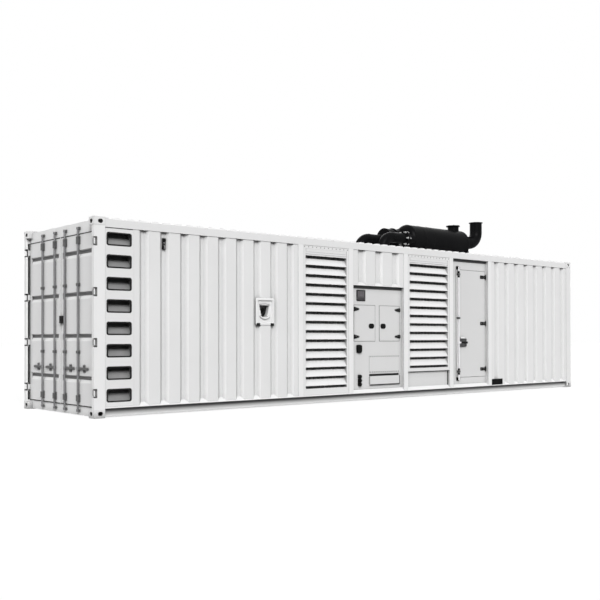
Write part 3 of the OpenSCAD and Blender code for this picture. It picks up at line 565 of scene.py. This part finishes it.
def make_post_gaskets(side, place):
    """Rubber on the post's inner face, with a lip in lengths between the hinge notches."""
    gasket = Shape(place)
    gasket.prism(rect(0.044, POST_IN, 0.060, POST_IN + 0.0035), "z", LEAF_Z0, LEAF_Z1)
    ends = [LEAF_Z0] + [z + s * NOTCH_H / 2 for z in HINGE_Z for s in (-1, 1)] + [LEAF_Z1]
    for low, high in zip(ends[::2], ends[1::2]):
        gasket.prism([(0.031, POST_IN), (0.0445, POST_IN), (0.0445, POST_IN + 0.0035),
                      (0.038, POST_IN + 0.002), (0.031, POST_IN + 0.0035)], "z",
                     low + 0.002, high - 0.002)
    add_piece("post_gasket_" + side, gasket, "rubber")


def make_bracket_plates(side, place):
    """Bolted plates under the blocks that the lock rods turn in."""
    plates, bolts = Shape(place), Shape(place)
    face = LEAF_X - 0.007
    for y in ROD_Y:
        for z, wide, high, across, up in [(z, 0.088, 0.118, 0.033, 0.046) for z in BIG_BRACKETS] + [
                (z, 0.078, 0.046, 0.031, 0.0) for z in SMALL_BRACKETS]:
            plates.prism(round_rect(wide, high, 0.008), "x", face, LEAF_X - HAIR, (0, y, z))
            for s in (-1, 1):
                for t in ((-1, 1) if up else (0,)):
                    bolts.bolt("x", (face, y + s * across, z + t * up), 0.006)
    add_piece("bracket_plates_" + side, plates, "dark_paint", 0.001, "cargo_door_" + side)
    add_piece("bracket_bolts_" + side, bolts, "dark_steel", body="cargo_door_" + side)


for side, place in SIDES.items():
    make_door_seals(side, place)
    make_post_gaskets(side, place)
    make_bracket_plates(side, place)
    make_hinge_covers(side, place)
    make_rod_handles(side, place)
make_centre_strip()
make_lock_box()


# ---- vents and louvres ----

# The vents: their middle, width and height, the lowest one, their pitch and their number
VENT_X, VENT_W, VENT_H, VENT_Z, VENT_PITCH, VENT_COUNT = 0.408, 0.408, 0.190, 0.319, 0.324, 8
VENT_FACE, SLAT_DEPTH, CHEEK_HALF, COVER_THICK = 0.008, 0.150, 0.0015, 0.003
# Each louvre's near edge and width, their back, and their foot and head
LOUVRES, LOUVRE_BACK, LOUVRE_Z0, LOUVRE_Z1 = [(3.952, 1.085), (6.601, 1.238)], 0.072, 0.206, 2.750


def make_vents(name, place):
    """Each vent: a rubber trim round its edge, and cheeks and a cover that close the slat behind it."""
    trims, hoods = Shape(place), Shape(place)
    outline = round_rect(VENT_W + 0.004, VENT_H + 0.004, 0.032)
    hole = round_rect(VENT_W - 0.040, VENT_H - 0.036, 0.020)
    cheek_y, cover_y, back = VENT_FACE + 0.008, VENT_FACE + 0.007, VENT_FACE + 0.006 + SLAT_DEPTH
    reach = VENT_W / 2 + 0.008
    for i in range(VENT_COUNT):
        z = VENT_Z + i * VENT_PITCH
        trims.ring(outline, hole, "y", VENT_FACE - 0.003, VENT_FACE + 0.010, (VENT_X, 0, z))
        foot, head = z - VENT_H / 2 - 0.010, z + VENT_H / 2 + 0.004
        for s in (-1, 1):
            edge = VENT_X + s * (VENT_W / 2 + 0.005)
            hoods.prism([(cheek_y, foot), (back, head), (cheek_y, head)], "x",
                        edge - CHEEK_HALF, edge + CHEEK_HALF)
        hoods.block((VENT_X - reach, cover_y, head), (VENT_X + reach, back, head + COVER_THICK))
    add_piece("vent_trims_" + name, trims, "rubber", 0.002)
    add_piece("vent_hoods_" + name, hoods, "vent_shade")


PLEAT, FOLD_THICK = 0.045, 0.006


def pleats(start, length, count, valley, crest):
    """The outline of a folded sheet whose folds reach from valley to crest."""
    ridge = [(start + i * length / count, crest if i % 2 else valley) for i in range(count + 1)]
    return ridge + [(a, b + FOLD_THICK) for a, b in reversed(ridge)]


def make_louvre_baffles(name, place):
    """Dark pleated sound baffles behind the louvres."""
    baffles = Shape(place)
    inset = 0.02
    for x, wide in LOUVRES:
        length = wide - 2 * inset
        count = int(length / PLEAT) // 2 * 2
        ridge = pleats(x + inset, length, count, LOUVRE_BACK + 0.030, LOUVRE_BACK + 0.006)
        baffles.prism(ridge, "z", LOUVRE_Z0, LOUVRE_Z1)
    add_piece("louvre_baffles_" + name, baffles, "foam", crisp=20)


# The foot of the top side rails, and the vent panel's ends
RAIL_Z, VENT_PANEL_X0, VENT_PANEL_X1 = 2.752, 0.182, 0.634


def make_rail_shadow_strip(name, place):
    """A dark strip under the top rail, over the vent panel: painted shadow of the rail."""
    shadow_strip = Shape(place)
    shadow_strip.prism(rect(VENT_PANEL_X0, VENT_FACE - 0.0020, VENT_PANEL_X1, VENT_FACE - 0.0002), "z",
               RAIL_Z - 0.0115, RAIL_Z - 0.0005)
    add_piece("rail_shadow_strip_" + name, shadow_strip, "case_paint", 0.0004)


def make_louvre_heads(name, place):
    """A plate over the gap above each louvre's top blade, and a narrower one on its face."""
    heads = Shape(place)
    for x, wide in LOUVRES:
        for inset, depth, foot, head in ((0.045, 0.004, -0.148, 0.004), (0.070, 0.001, -0.110, -0.030)):
            heads.prism(rect(x + inset, VENT_FACE + depth, x + wide - inset, VENT_FACE + depth + 0.003),
                        "z", LOUVRE_Z1 + foot, LOUVRE_Z1 + head)
    add_piece("louvre_heads_" + name, heads, "enclosure_paint")


KICK_Z0, KICK_Z1, KICK_FACE, KICK_SCREWS = 0.208, 0.500, 0.050, 13
HEAD_SCREW_Z, HEAD_SCREW_PITCH = 2.724, 0.095


def row(start, length, count):
    """Evenly spaced places from a start to its far end."""
    return [start + i * length / (count - 1) for i in range(count)]


def make_louvre_screws():
    """Screws along the louvre frames' heads and the kick panel, and a dark strip at the panel's end:
    painted shadow of its recessed end.
    """
    screws, strip = Shape(), Shape()
    for x, wide in LOUVRES:
        for spot in row(x + 0.030, wide - 0.060, round(wide / HEAD_SCREW_PITCH) + 1):
            screws.bolt("y", (spot, VENT_FACE, HEAD_SCREW_Z), 0.006)
    x, wide = LOUVRES[1]
    for spot in row(x + 0.040, wide - 0.110, KICK_SCREWS):
        screws.bolt("y", (spot, KICK_FACE, KICK_Z1 - 0.020), 0.007)
    strip.prism(rect(x + wide - 0.030, KICK_FACE - 0.004, x + wide - 0.002, KICK_FACE - 0.0002), "z",
                KICK_Z0, KICK_Z1 - 0.002)
    add_piece("louvre_screws", screws, "dark_steel")
    add_piece("kick_panel_strip", strip, "rubber", 0.001)


def make_holdback_hook():
    """The curved finger at the foot of the door holdback, and its pivot bolt."""
    low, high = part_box("door_holdback")
    x, y, z = (low[0] + high[0]) / 2 - DOOR_END, low[1] - CONTROL_SIDE, low[2]
    hook = Shape()
    hook.tube([(x, y + 0.014, z + 0.066), (x, y + 0.004, z + 0.058), (x, y - 0.004, z + 0.036),
               (x, y - 0.003, z + 0.018), (x, y + 0.006, z + 0.010)], 0.011)
    hook.bolt("y", (x, y + 0.009, z + 0.100), 0.011)
    add_piece("holdback_hook", hook, "zinc_steel")


make_louvre_screws()
make_holdback_hook()
for name, place in (("front", front), ("rear", rear)):
    make_vents(name, place)
    make_louvre_heads(name, place)
    make_rail_shadow_strip(name, place)
    make_louvre_baffles(name, place)


# ---- control bay ----

# The near edges of the mullions between the bays
MULLIONS, MULLION_W = [3.842, 5.037, 6.491, 7.839, 9.094], 0.110
BAY_X = MULLIONS[1] + MULLION_W
PANEL_Y = 0.065
DOOR_Z, DOOR_W, DOOR_H = 1.090, 0.540, 0.655
# Each control door's near edge, its hinge pins, and the way that its hinge plates point
CONTROL_DOORS = {"left": (5.219, 5.207, 1), "right": (5.879, 6.431, -1)}
CONTROL_HINGE_Z, CONTROL_HINGE_FACE = [1.170, 1.675], -0.0135
CABLE_X, CABLE_W = 5.609, 0.800


def make_control_doors():
    """Rubber round the control doors' openings, and their black hinge plates with bolts."""
    seals = Shape(panel)
    for side, (x, pin_x, way) in CONTROL_DOORS.items():
        mid = (x + DOOR_W / 2, 0, DOOR_Z + DOOR_H / 2)
        seals.ring(round_rect(DOOR_W + 0.0115, DOOR_H + 0.0115, 0.003), round_rect(
            DOOR_W + 0.004, DOOR_H + 0.004, 0.002), "y", -0.003, 0.005, mid)
        plates, bolts = Shape(panel), Shape(panel)
        for z in CONTROL_HINGE_Z:
            plates.prism([(way * 0.0095, -0.039), (way * 0.0095, 0.039), (way * 0.128, 0.014),
                          (way * 0.138, 0.009), (way * 0.138, -0.009), (way * 0.128, -0.014)], "y",
                         CONTROL_HINGE_FACE, -0.0038, (pin_x, 0, z))
            plates.turned([(0.0088, -0.0175), (0.0088, 0.0175)], "z", (pin_x, -0.012, z), 20)
            for reach in (0.026, 0.065, 0.110):
                bolts.bolt("y", (pin_x + way * reach, CONTROL_HINGE_FACE, z), 0.0055)
        body = "control_door_" + side
        add_piece("control_hinge_plates_" + side, plates, "black_plastic", 0.0012, body)
        add_piece("control_hinge_bolts_" + side, bolts, "dark_steel", body=body)
    add_piece("control_door_seals", seals, "rubber")


def make_control_locks():
    """A wide rose with round ends, a raised ring and a rounded grip."""
    for side in CONTROL_DOORS:
        node = "control_lock_" + side
        low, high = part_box(node)
        x, z = (low[0] + high[0]) / 2 - DOOR_END, (low[2] + high[2]) / 2
        back, tip = high[1] - CONTROL_SIDE, low[1] - CONTROL_SIDE
        half = (high[0] - low[0]) / 2
        lock = Shape()
        face = back - 0.006
        lock.loft([lay(round_rect(3.0 * w, 2 * w, r), "y", y, (x, 0, z)) for w, r, y in (
            (half, 0.040, back), (half, 0.040, face + 0.002), (half - 0.002, 0.039, face))])
        outer, inner = half * 0.82, half * 0.72
        lock.turned([(outer, face + 0.001), (outer, face - 0.002), (inner, face - 0.002),
                     (inner, face + 0.001)], "y", (x, 0, z), hoop=True)
        lock.loft([lay(round_rect(2 * w, 2 * h, r, 5), "y", y, (x, 0, z)) for w, h, r, y in (
            (0.009, 0.030, 0.0085, face + 0.001), (0.0075, 0.029, 0.007, tip + 0.002),
            (0.006, 0.027, 0.0055, tip))])
        piece = add_piece(node + "_knob", lock, "black_plastic", body=node)
        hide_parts(node)


KEY_ROWS, KEY_COLUMNS, KEY_PITCH, KEY_RISE = 2, 5, 0.031, 0.020


def make_display():
    """The display's raised frame, its keys in rows, and its screen."""
    low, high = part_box("display_window")
    wide, tall = high[0] - low[0], high[2] - low[2]
    mid = ((low[0] + high[0]) / 2 - DOOR_END, 0, (low[2] + high[2]) / 2)
    face = low[1] - CONTROL_SIDE
    bezel, keys, screen = Shape(), Shape(), Shape()
    bezel.ring(round_rect(wide + 0.006, tall + 0.006, 0.012),
               round_rect(wide - 0.022, tall - 0.022, 0.006), "y", face - 0.003, PANEL_Y, mid)
    add_piece("display_bezel", bezel, "black_plastic", 0.0012)
    for line in range(KEY_ROWS):
        for column in range(KEY_COLUMNS):
            keys.prism(round_rect(0.020, 0.012, 0.004), "y", face - 0.002, face + 0.001,
                       (mid[0] - 0.062 + column * KEY_PITCH, 0, mid[2] - 0.070 + line * KEY_RISE))
    add_piece("display_keys", keys, "black_plastic")
    screen.prism(round_rect(0.160, 0.095, 0.004), "y", face - 0.0008, face + 0.001,
                 (mid[0], 0, mid[2] + 0.030))
    add_piece("display_screen", screen, "screen")


BREAKER = (BAY_X + 0.190, 0, 0.948)
# The sockets' lowest place, how far up they reach, and how many there are
SOCKETS_X, SOCKETS_Z = BAY_X + 0.205, (0.300, 0.140, 3)


def make_sockets():
    """A flanged breaker cover with a window, and three capped sockets on square flanges."""
    cover, caps, screws = Shape(panel), Shape(panel), Shape(panel)
    cover.prism(round_rect(0.124, 0.148, 0.028), "y", -0.006, 0, BREAKER)
    cover.ring(round_rect(0.110, 0.134, 0.026), round_rect(0.084, 0.104, 0.016), "y", -0.038,
               -0.030, BREAKER)
    for s in (-1, 1):
        for t in (-1, 1):
            screws.bolt("y", (BREAKER[0] + s * 0.054, -0.006, BREAKER[2] + t * 0.066), 0.004)
    for z in row(*SOCKETS_Z):
        spot = (SOCKETS_X, 0, z)
        caps.prism(round_rect(0.078, 0.066, 0.010), "y", -0.007, 0, spot)
        caps.turned([(0.0345, -0.012), (0.0345, -0.020), (0.031, -0.020), (0.031, -0.012)], "y",
                    spot, hoop=True)
        caps.turned([(0.024, -0.039), (0.022, -0.045), (0.010, -0.046)], "y", spot)
        caps.block((SOCKETS_X - 0.010, -0.042, z + 0.028), (SOCKETS_X + 0.010, -0.004, z + 0.0335))
    add_piece("breaker_cover_frame", cover, "black_plastic", 0.0015)
    add_piece("socket_caps", caps, "black_plastic", 0.001)
    add_piece("breaker_screws", screws, "dark_steel")


COVER_SCREWS, COVER_SCREW_Z = 14, [0.517, 0.801]
SLOT_Z0, SLOT_Z1, BRISTLES = 0.4385, 0.4815, 160
FLAP_FACE = -0.025


def make_cable_entry():
    """Screw rows on the cable cover, a brush in the slot and a rubber edge round the outlet flap."""
    screws, brush, edge = Shape(panel), Shape(panel), Shape(panel)
    for x in row(CABLE_X + 0.022, CABLE_W - 0.044, COVER_SCREWS):
        for z in COVER_SCREW_Z:
            screws.bolt("y", (x, -0.004, z), 0.0075)
    bristles = pleats(CABLE_X + 0.005, CABLE_W - 0.010, BRISTLES, 0.010, 0.007)
    brush.prism(bristles, "z", SLOT_Z0, SLOT_Z1)
    for wide, tall, x, z in ((CABLE_W, 0.012, CABLE_X + CABLE_W / 2, 0.282),
                             (0.014, 0.150, CABLE_X + CABLE_W - 0.007, 0.363)):
        edge.prism(round_rect(wide, tall, 0.003), "y", FLAP_FACE - 0.003, FLAP_FACE + 0.002, (x, 0, z))
    add_piece("cable_cover_screws", screws, "dark_steel")
    add_piece("cable_brush", brush, "rubber", crisp=20)
    add_piece("outlet_flap_seal", edge, "rubber", 0.0015)


make_control_doors()
make_control_locks()
make_display()
make_sockets()
make_cable_entry()


# ---- personnel door ----

# P is for personnel: the leaf's edges and its face, its hinge pins, and its lock rod
P_X0, P_X1, P_Z0, P_Z1, P_Y = 8.108, 9.048, 0.345, 2.532, 0.060
P_PIN_X, P_PIN_Y = 9.060, 0.050
P_HINGE_Z = [0.495, 1.445, 2.415]
P_ROD_X, P_ROD_Y = P_X0 + 0.044, P_Y - 0.034
GUIDE_Z = [P_Z0 + 0.117, P_Z0 + 1.203, P_Z0 + 2.092]
COLLAR_IN, COLLAR_R, COLLAR_FROM, COLLAR_TO = 0.0172, 0.0208, 0.022, 0.064
KEEPER_OUT = 0.038


def make_rod_fittings():
    """Stop collars on the personnel door's rod, pale strips behind it, and its keepers' plates."""
    collars, strips, plates = Shape(), Shape(), Shape()
    for z in (GUIDE_Z[0], GUIDE_Z[2]):
        for low, high in ((-COLLAR_TO, -COLLAR_FROM), (COLLAR_FROM, COLLAR_TO)):
            collars.turned([(COLLAR_IN, low), (COLLAR_R - 0.001, low), (COLLAR_R, low + 0.001),
                            (COLLAR_R, high - 0.001), (COLLAR_R - 0.001, high), (COLLAR_IN, high)],
                           "z", (P_ROD_X, P_ROD_Y, z), 28)
    for low, high in zip(GUIDE_Z, GUIDE_Z[1:]):
        strips.prism(rect(P_ROD_X - 0.040, P_Y - 0.0115, P_ROD_X + 0.030, P_Y - HAIR), "z",
                     low + 0.024, high - 0.024)
    for z in (P_Z0 - KEEPER_OUT, P_Z1 + KEEPER_OUT):
        plates.prism(round_rect(0.084, 0.070, 0.020), "y", P_Y - 0.003, PANEL_Y - HAIR, (P_ROD_X, 0, z))
    add_piece("personnel_rod_collars", collars, "black_plastic", 0.0008, "personnel_rod")
    add_piece("personnel_rod_strips", strips, "lit_paint", 0.001, "personnel_door")
    add_piece("personnel_keeper_plates", plates, "black_plastic", 0.001)


# The height of the dark strips painted as the headers' shadow, and the foot of the header over the
# control bay
STRIP_H, BAY_HEAD = 0.054, 2.104


def make_bay_shadow_strips():
    """A dark strip on the panel, right under the header of each bay with doors: painted shadow of the
    header.
    """
    strips = Shape()
    for left, right, top in ((BAY_X, MULLIONS[2], BAY_HEAD),
                             (MULLIONS[3] + MULLION_W, MULLIONS[4], RAIL_Z)):
        strips.prism(rect(left + 0.004, PANEL_Y - 0.007, right - 0.004, PANEL_Y - HAIR), "z",
                     top - STRIP_H, top - 0.001)
    add_piece("bay_shadow_strips", strips, "case_paint", 0.002)


# The lock case: its height above the ground, and the depth of its covers' faces
CASE_Z, CASE_FACE = 1.050, 0.033


def make_handle_case():
    """The lock case's covers and its rain hood, and a grip over the handle in front of it."""
    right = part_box("rod_guides")[1][0] - DOOR_END
    left, back = right - 0.219, P_Y - 0.0004
    covers, hood, grip = Shape(), Shape(), Shape()
    for wide, tall, radius, x in ((0.128, 0.166, 0.012, left + 0.060),
                                  (0.086, 0.160, 0.010, right - 0.040)):
        covers.prism(round_rect(wide, tall, radius), "y", CASE_FACE, back, (x, 0, CASE_Z))
    hood.prism([(0.020, 1.132), (0.017, 1.137), (0.034, 1.166), (back, 1.172), (back, 1.132)],
               "x", left + 0.018, left + 0.150)
    grip.prism(round_rect(0.0135, 0.038, 0.006), "x", right - 0.185, right + 0.026, (0, 0.026, CASE_Z))
    add_piece("handle_case_covers", covers, "case_paint", 0.002, "personnel_door")
    add_piece("handle_hood", hood, "enclosure_paint", 0.001, "personnel_door")
    add_piece("personnel_rod_grip", grip, "black_plastic", 0.0015, "personnel_rod")


# The upper half of a hinge strap's outline, from its pin on, and its thickness
STRAP = [(-0.008, 0.037), (-0.026, 0.035), (-0.044, 0.0255), (-0.068, 0.0255), (-0.084, 0.033),
         (-0.164, 0.033), (-0.171, 0.026)]
STRAP_THICK = 0.0092


def make_personnel_door():
    """The rubber round the leaf, its three hinge straps with bolts, and what its rod carries."""
    seal, straps, bolts = Shape(), Shape(), Shape()
    mid = ((P_X0 + P_X1) / 2, 0, (P_Z0 + P_Z1) / 2)
    wide, tall = P_X1 - P_X0, P_Z1 - P_Z0
    seal.ring(round_rect(wide + 0.0115, tall + 0.0115, 0.004),
              round_rect(wide + 0.004, tall + 0.004, 0.003), "y", P_Y + 0.002, P_Y + 0.014, mid)
    for z in P_HINGE_Z:
        straps.prism(STRAP + [(x, -up) for x, up in reversed(STRAP)], "y", P_Y - STRAP_THICK,
                     P_Y - HAIR, (P_PIN_X, 0, z))
        straps.turned([(0.0108, -0.0295), (0.0108, 0.0295)], "z", (P_PIN_X, P_PIN_Y, z), 20)
        for reach in (0.036, 0.085, 0.140):
            bolts.bolt("y", (P_PIN_X - reach, P_Y - STRAP_THICK, z), 0.008)
    make_handle_case()
    make_rod_fittings()
    make_bay_shadow_strips()
    add_piece("personnel_door_seal", seal, "rubber")
    add_piece("personnel_hinge_straps", straps, "black_plastic", 0.0015, "personnel_door")
    add_piece("personnel_hinge_bolts", bolts, "dark_steel", body="personnel_door")


make_personnel_door()


# ---- fuel box ----

# The middle of the box on the wall, its width, height and depth, and how its feet stand out
FUEL_X, FUEL_Z, FUEL_W, FUEL_H, FUEL_D = 3.115, 1.585, 0.390, 0.450, 0.170
FOOT_ACROSS, FOOT_DOWN = 0.145, 0.212


def make_fuel_box():
    """A box let into the wall: a round rim, a set-back face, and a mouth with a hood and a lip."""
    box, lip, feet, lever = (Shape(fuel_box) for _ in range(4))
    outside = [lay(round_rect(FUEL_W - less, FUEL_H - less, radius), "y", depth)
               for less, radius, depth in (
                   (0.042, 0.020, FUEL_D), (0.042, 0.020, 0.0097), (0, 0.034, 0.0097),
                   (0, 0.034, 0.005), (0.004, 0.033, 0.0025), (0.014, 0.030, 0.001),
                   (0.070, 0.024, 0.001), (0.080, 0.022, 0.004), (0.090, 0.020, 0.022))]
    inside = [lay(round_quad(low_w, high_w, height, 0.014), "y", depth, (0, 0, 0.008))
              for low_w, high_w, height, depth in (
                  (0.130, 0.215, 0.200, 0.026), (0.124, 0.205, 0.190, 0.032),
                  (0.124, 0.205, 0.190, FUEL_D - 0.004))]
    box.loft(outside + inside)
    shell = add_piece("fuel_box_shell", box, "lit_paint", 0.0008, crisp=30)
    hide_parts("fuel_box")

    def arc(half, sag, z, depth, count=16):
        """A shallow curve across the box's face, deepest in the middle."""
        return [(a * half, depth, z + sag * (1 - a * a)) for a in row(-1, 2, count + 1)]

    lip.tube(arc(0.098, -0.045, -0.072, 0.018), 0.016)
    lip.tube(arc(0.112, 0.020, 0.118, 0.021), 0.008)
    for s in (-1, 1):
        feet.prism(round_rect(0.076, 0.046, 0.012), "y", 0.0004, 0.0095, (s * FOOT_ACROSS, 0, -FOOT_DOWN))
    lever.tube([(0.055, 0.060, 0.075), (0.028, 0.050, 0.030), (-0.012, 0.046, -0.020),
                (-0.040, 0.050, -0.060)], 0.016)
    lever.turned([(0.030, 0.036), (0.034, 0.042), (0.034, 0.072), (0.028, 0.078)], "y",
                 (-0.035, 0, -0.052), 20)
    add_piece("fuel_box_lips", lip, "enclosure_paint")
    add_piece("fuel_box_feet", feet, "rubber", 0.002)
    add_piece("fuel_lever", lever, "black_plastic")


make_fuel_box()


# ---- welds ----

LENGTH, POST_D, FACE_INSET = 12.192, 0.075, 0.003
CASTING_L, CASTING_H = CASTING[0], CASTING[2]
# The upright beads: their feet at the bays and at the wall's ends, their depth, and a midway height
BAY_FOOT, WALL_FOOT, WELD_Y, WELD_MID = 0.204, 0.140, 0.010, 1.400


def make_welds(name, place):
    """Weld beads where the posts meet the castings, and along the posts between the bays."""
    beads = Shape(place)
    corner = [(CASTING_L, FACE_INSET), (0.090, FACE_INSET), (FACE_INSET, FACE_INSET),
              (FACE_INSET, 0.040), (FACE_INSET, POST_D)]
    for end in (0, LENGTH):
        for z in (CASTING_H, CONTAINER_TOP - CASTING_H):
            beads.tube([(abs(end - x), y, z) for x, y in corner], 0.0026, 8)
    uprights = [(edge, BAY_FOOT) for x in MULLIONS for edge in (x, x + MULLION_W)]
    uprights += [(x, WALL_FOOT) for x in (CASTING_L, LENGTH - CASTING_L)]
    for x, foot in uprights:
        beads.tube([(x, WELD_Y, z) for z in (foot, WELD_MID, RAIL_Z)], 0.004, 8)
    add_piece("weld_beads_" + name, beads, "enclosure_paint")


# The plates over the ends of the roof's crests: their pitch, their top and foot, and their depth from the
# side
ROOF_PITCH, ROOF_CREST, ROOF_FOOT, ROOF_EDGE = 0.209, 2.891, 2.866, 0.010


def make_roof_crest_ends(name, place):
    """Whiter plates over the ends of the roof's crests, along one side: painted highlight where the
    crests' ends catch the light.
    """
    beads = Shape(place)
    length = LENGTH - 2 * CASTING_L
    count = round(length / ROOF_PITCH)
    pitch = length / count
    crest = [(-0.34, ROOF_FOOT), (-0.25, ROOF_CREST), (0.25, ROOF_CREST), (0.34, ROOF_FOOT)]
    for i in range(1, count):
        middle = CASTING_L + i * pitch
        beads.prism([(middle + share * pitch, z) for share, z in crest], "y", ROOF_EDGE - 0.003,
                    ROOF_EDGE)
    add_piece("roof_crest_ends_" + name, beads, "crest_highlight")


for name, place in (("front", front), ("rear", rear)):
    make_welds(name, place)
    make_roof_crest_ends(name, place)


# ---- exhaust ----

# The silencer's near head, its radius and height, and the edge of its far head
BODY_X, BODY_R, BODY_Z, BODY_END = 7.870, 0.310, 3.232, 9.620
STRAP_X = [8.200, 9.595]
# The two inlets' depth and height, their risers, their bends' radius and their pipes' welds
NEAR, FAR = (-0.205, 3.212), (0.150, 3.183)
NEAR_RISER_X, FAR_RISER_X, BEND, INLET_R = 6.955, 6.640, 0.270, 0.111
# The joints: where they are, half their thickness, and the radius that their bolts lie on
JOINT_X, FAR_JOINT_X, FLANGE, BOLTS_R = 7.600, 7.330, 0.022, 0.138
CHAMBER_BANDS, CHAMBER_Z, CHAMBER_R = [7.600, 7.810], 3.250, 0.193
OUTLET_Z, OUTLET_JOINT_X, OUTLET_RISER_X, OUTLET_R = 3.308, 9.650, 10.2453, 0.138
# The stub on top, and the height of the flanges on the roof
STUB_X, STUB_TOP, ROOF_FLANGE_Z = 9.440, 3.646, 2.900


def bolt_circle(shape, axis, centre, radius, count, size, out=1):
    """Bolts spread evenly round a flange."""
    for spot in lay(circle(radius, count), axis, 0, centre):
        shape.bolt(axis, spot, size, out)


def make_exhaust():
    """Bolts on the flanges, bands round the silencer and the chamber, and weld beads."""
    shiny, plain, bands, seams = (Shape(roof) for _ in range(4))
    for out in (-1, 1):
        bolt_circle(shiny, "x", (JOINT_X + out * FLANGE, *NEAR), BOLTS_R, 6, 0.019, out)
    for spot in lay(circle(BOLTS_R, 6), "x", 0, (JOINT_X, *NEAR)):
        shiny.turned([(0.010, -0.075), (0.012, -0.073), (0.012, 0.073), (0.010, 0.075)], "x", spot, 12)
    bolt_circle(plain, "x", (FAR_JOINT_X - FLANGE, *FAR), 0.130, 6, 0.013, -1)
    bolt_circle(plain, "x", (OUTLET_JOINT_X + FLANGE, 0, OUTLET_Z), 0.152, 8, 0.010)
    bolt_circle(plain, "z", (STUB_X, 0, STUB_TOP), BOLTS_R, 8, 0.009)
    for x, (y, z) in ((NEAR_RISER_X, NEAR), (FAR_RISER_X, FAR)):
        bolt_circle(plain, "z", (x, y, ROOF_FLANGE_Z), BOLTS_R, 6, 0.009)
    for x in STRAP_X:
        bands.turned([(BODY_R, x - 0.025), (BODY_R + 0.003, x - 0.024), (BODY_R + 0.003, x + 0.024),
                      (BODY_R, x + 0.025)], "x", (0, 0, BODY_Z), 72)
    for x in CHAMBER_BANDS:
        bands.turned([(CHAMBER_R, x - 0.016), (CHAMBER_R + 0.020, x - 0.014),
                      (CHAMBER_R + 0.020, x + 0.014), (CHAMBER_R, x + 0.016)], "x",
                     (0, FAR[0], CHAMBER_Z), 64)
        bolt_circle(bands, "x", (x - 0.014, FAR[0], CHAMBER_Z), CHAMBER_R + 0.008, 12, 0.008, -1)
    for centre, axis, radius in (
            ((BODY_X + 0.012, 0, BODY_Z), "x", BODY_R), ((BODY_X + 0.600, 0, BODY_Z), "x", BODY_R),
            ((BODY_END, 0, BODY_Z), "x", BODY_R), ((JOINT_X + 0.024, *NEAR), "x", 0.103),
            ((JOINT_X - 0.024, *NEAR), "x", INLET_R), ((NEAR_RISER_X + BEND, *NEAR), "x", INLET_R),
            ((FAR_RISER_X + BEND, *FAR), "x", INLET_R),
            ((FAR_JOINT_X + 0.031, FAR[0], CHAMBER_Z), "x", CHAMBER_R),
            ((STUB_X, 0, BODY_Z + BODY_R + 0.004), "z", 0.123),
            ((OUTLET_JOINT_X + 0.345, 0, OUTLET_Z), "x", OUTLET_R),
            ((OUTLET_RISER_X, 0, OUTLET_Z + 0.250), "z", OUTLET_R)):
        seams.tube(lay(circle(radius, 48), axis, 0, centre), 0.003, 6, hoop=True)
    add_piece("flange_bolts", shiny, "bright_zinc")
    add_piece("exhaust_bolts", plain, "dark_steel")
    add_piece("silencer_straps", bands, "exhaust_black", crisp=50)
    add_piece("exhaust_welds", seams, "exhaust_black")


make_exhaust()


# ---- studio: pale floor, white surroundings, soft light ----

def room_or(shader, lights, shows):
    """The second of two shaders for rays that show the room: seen directly, in gloss or glass."""
    path = shader.add("ShaderNodeLightPath")
    shown = 0.0
    for kind in ("Is Camera Ray", "Is Glossy Ray", "Is Transmission Ray"):
        shown = shader.maths("MAXIMUM", shown, path.outputs[kind])
    mix = shader.add("ShaderNodeMixShader")
    for socket, value in zip(mix.inputs, (shown, lights.outputs[0], shows.outputs[0])):
        shader.give(socket, value)
    return mix.outputs[0]


FLOOR_SIZE, FLOOR_GREY, FLOOR_GLOW = 240, 0.15, 0.88
# The sky's light, which fades towards the horizon
WORLD_LIGHT = 0.15
# Soft lamps: the way each shines, its strength, and its width in degrees
LAMPS = {"key": ((0.38, 0.74, -0.555), 3.45, 30), "end": ((0.92, -0.18, -0.35), 0.80, 18),
         "back": ((-0.50, -0.84, -0.20), 1.3, 50)}


def make_floor():
    """A pale floor: matt, so that it keeps the object's shadow, with a glow where it is seen."""
    mat, shader = new_material("studio_floor")
    matt = shader.add("ShaderNodeBsdfDiffuse", Color=FLOOR_GREY)
    glow = shader.add("ShaderNodeEmission", Strength=FLOOR_GLOW)
    both = shader.add("ShaderNodeAddShader")
    for socket, part in zip(both.inputs, (matt, glow)):
        shader.give(socket, part.outputs[0])
    shader.add("ShaderNodeOutputMaterial", Surface=room_or(shader, matt, both))
    bpy.ops.mesh.primitive_plane_add(size=FLOOR_SIZE)
    floor = bpy.context.object
    floor.name = "studio_floor"
    clothe(floor, mat)


def make_light():
    """A white room that gives faint light from above, and the soft lamps."""
    world = bpy.data.worlds.new("studio")
    bpy.context.scene.world = world
    world.use_nodes = True
    shader = Shader(world.node_tree)
    spot = shader.add("ShaderNodeTexCoord").outputs["Generated"]
    height = shader.add("ShaderNodeSeparateXYZ", Vector=spot).outputs["Z"]
    lit = shader.add("ShaderNodeBackground", Color=1.0,
                     Strength=shader.ramp(height, 0.0, 1.0, 0.0, WORLD_LIGHT))
    seen = shader.add("ShaderNodeBackground", Color=1.0, Strength=1.0)
    shader.add("ShaderNodeOutputWorld", Surface=room_or(shader, lit, seen))
    for name, (way, strength, width) in LAMPS.items():
        sun = bpy.data.lights.new(name, "SUN")
        sun.energy = strength
        sun.angle = math.radians(width)
        lamp = bpy.data.objects.new(name, sun)
        bpy.context.scene.collection.objects.link(lamp)
        lamp.rotation_euler = Vector(way).to_track_quat("-Z", "Y").to_euler()


make_floor()
make_light()
bpy.context.scene.view_settings.view_transform = "Standard"
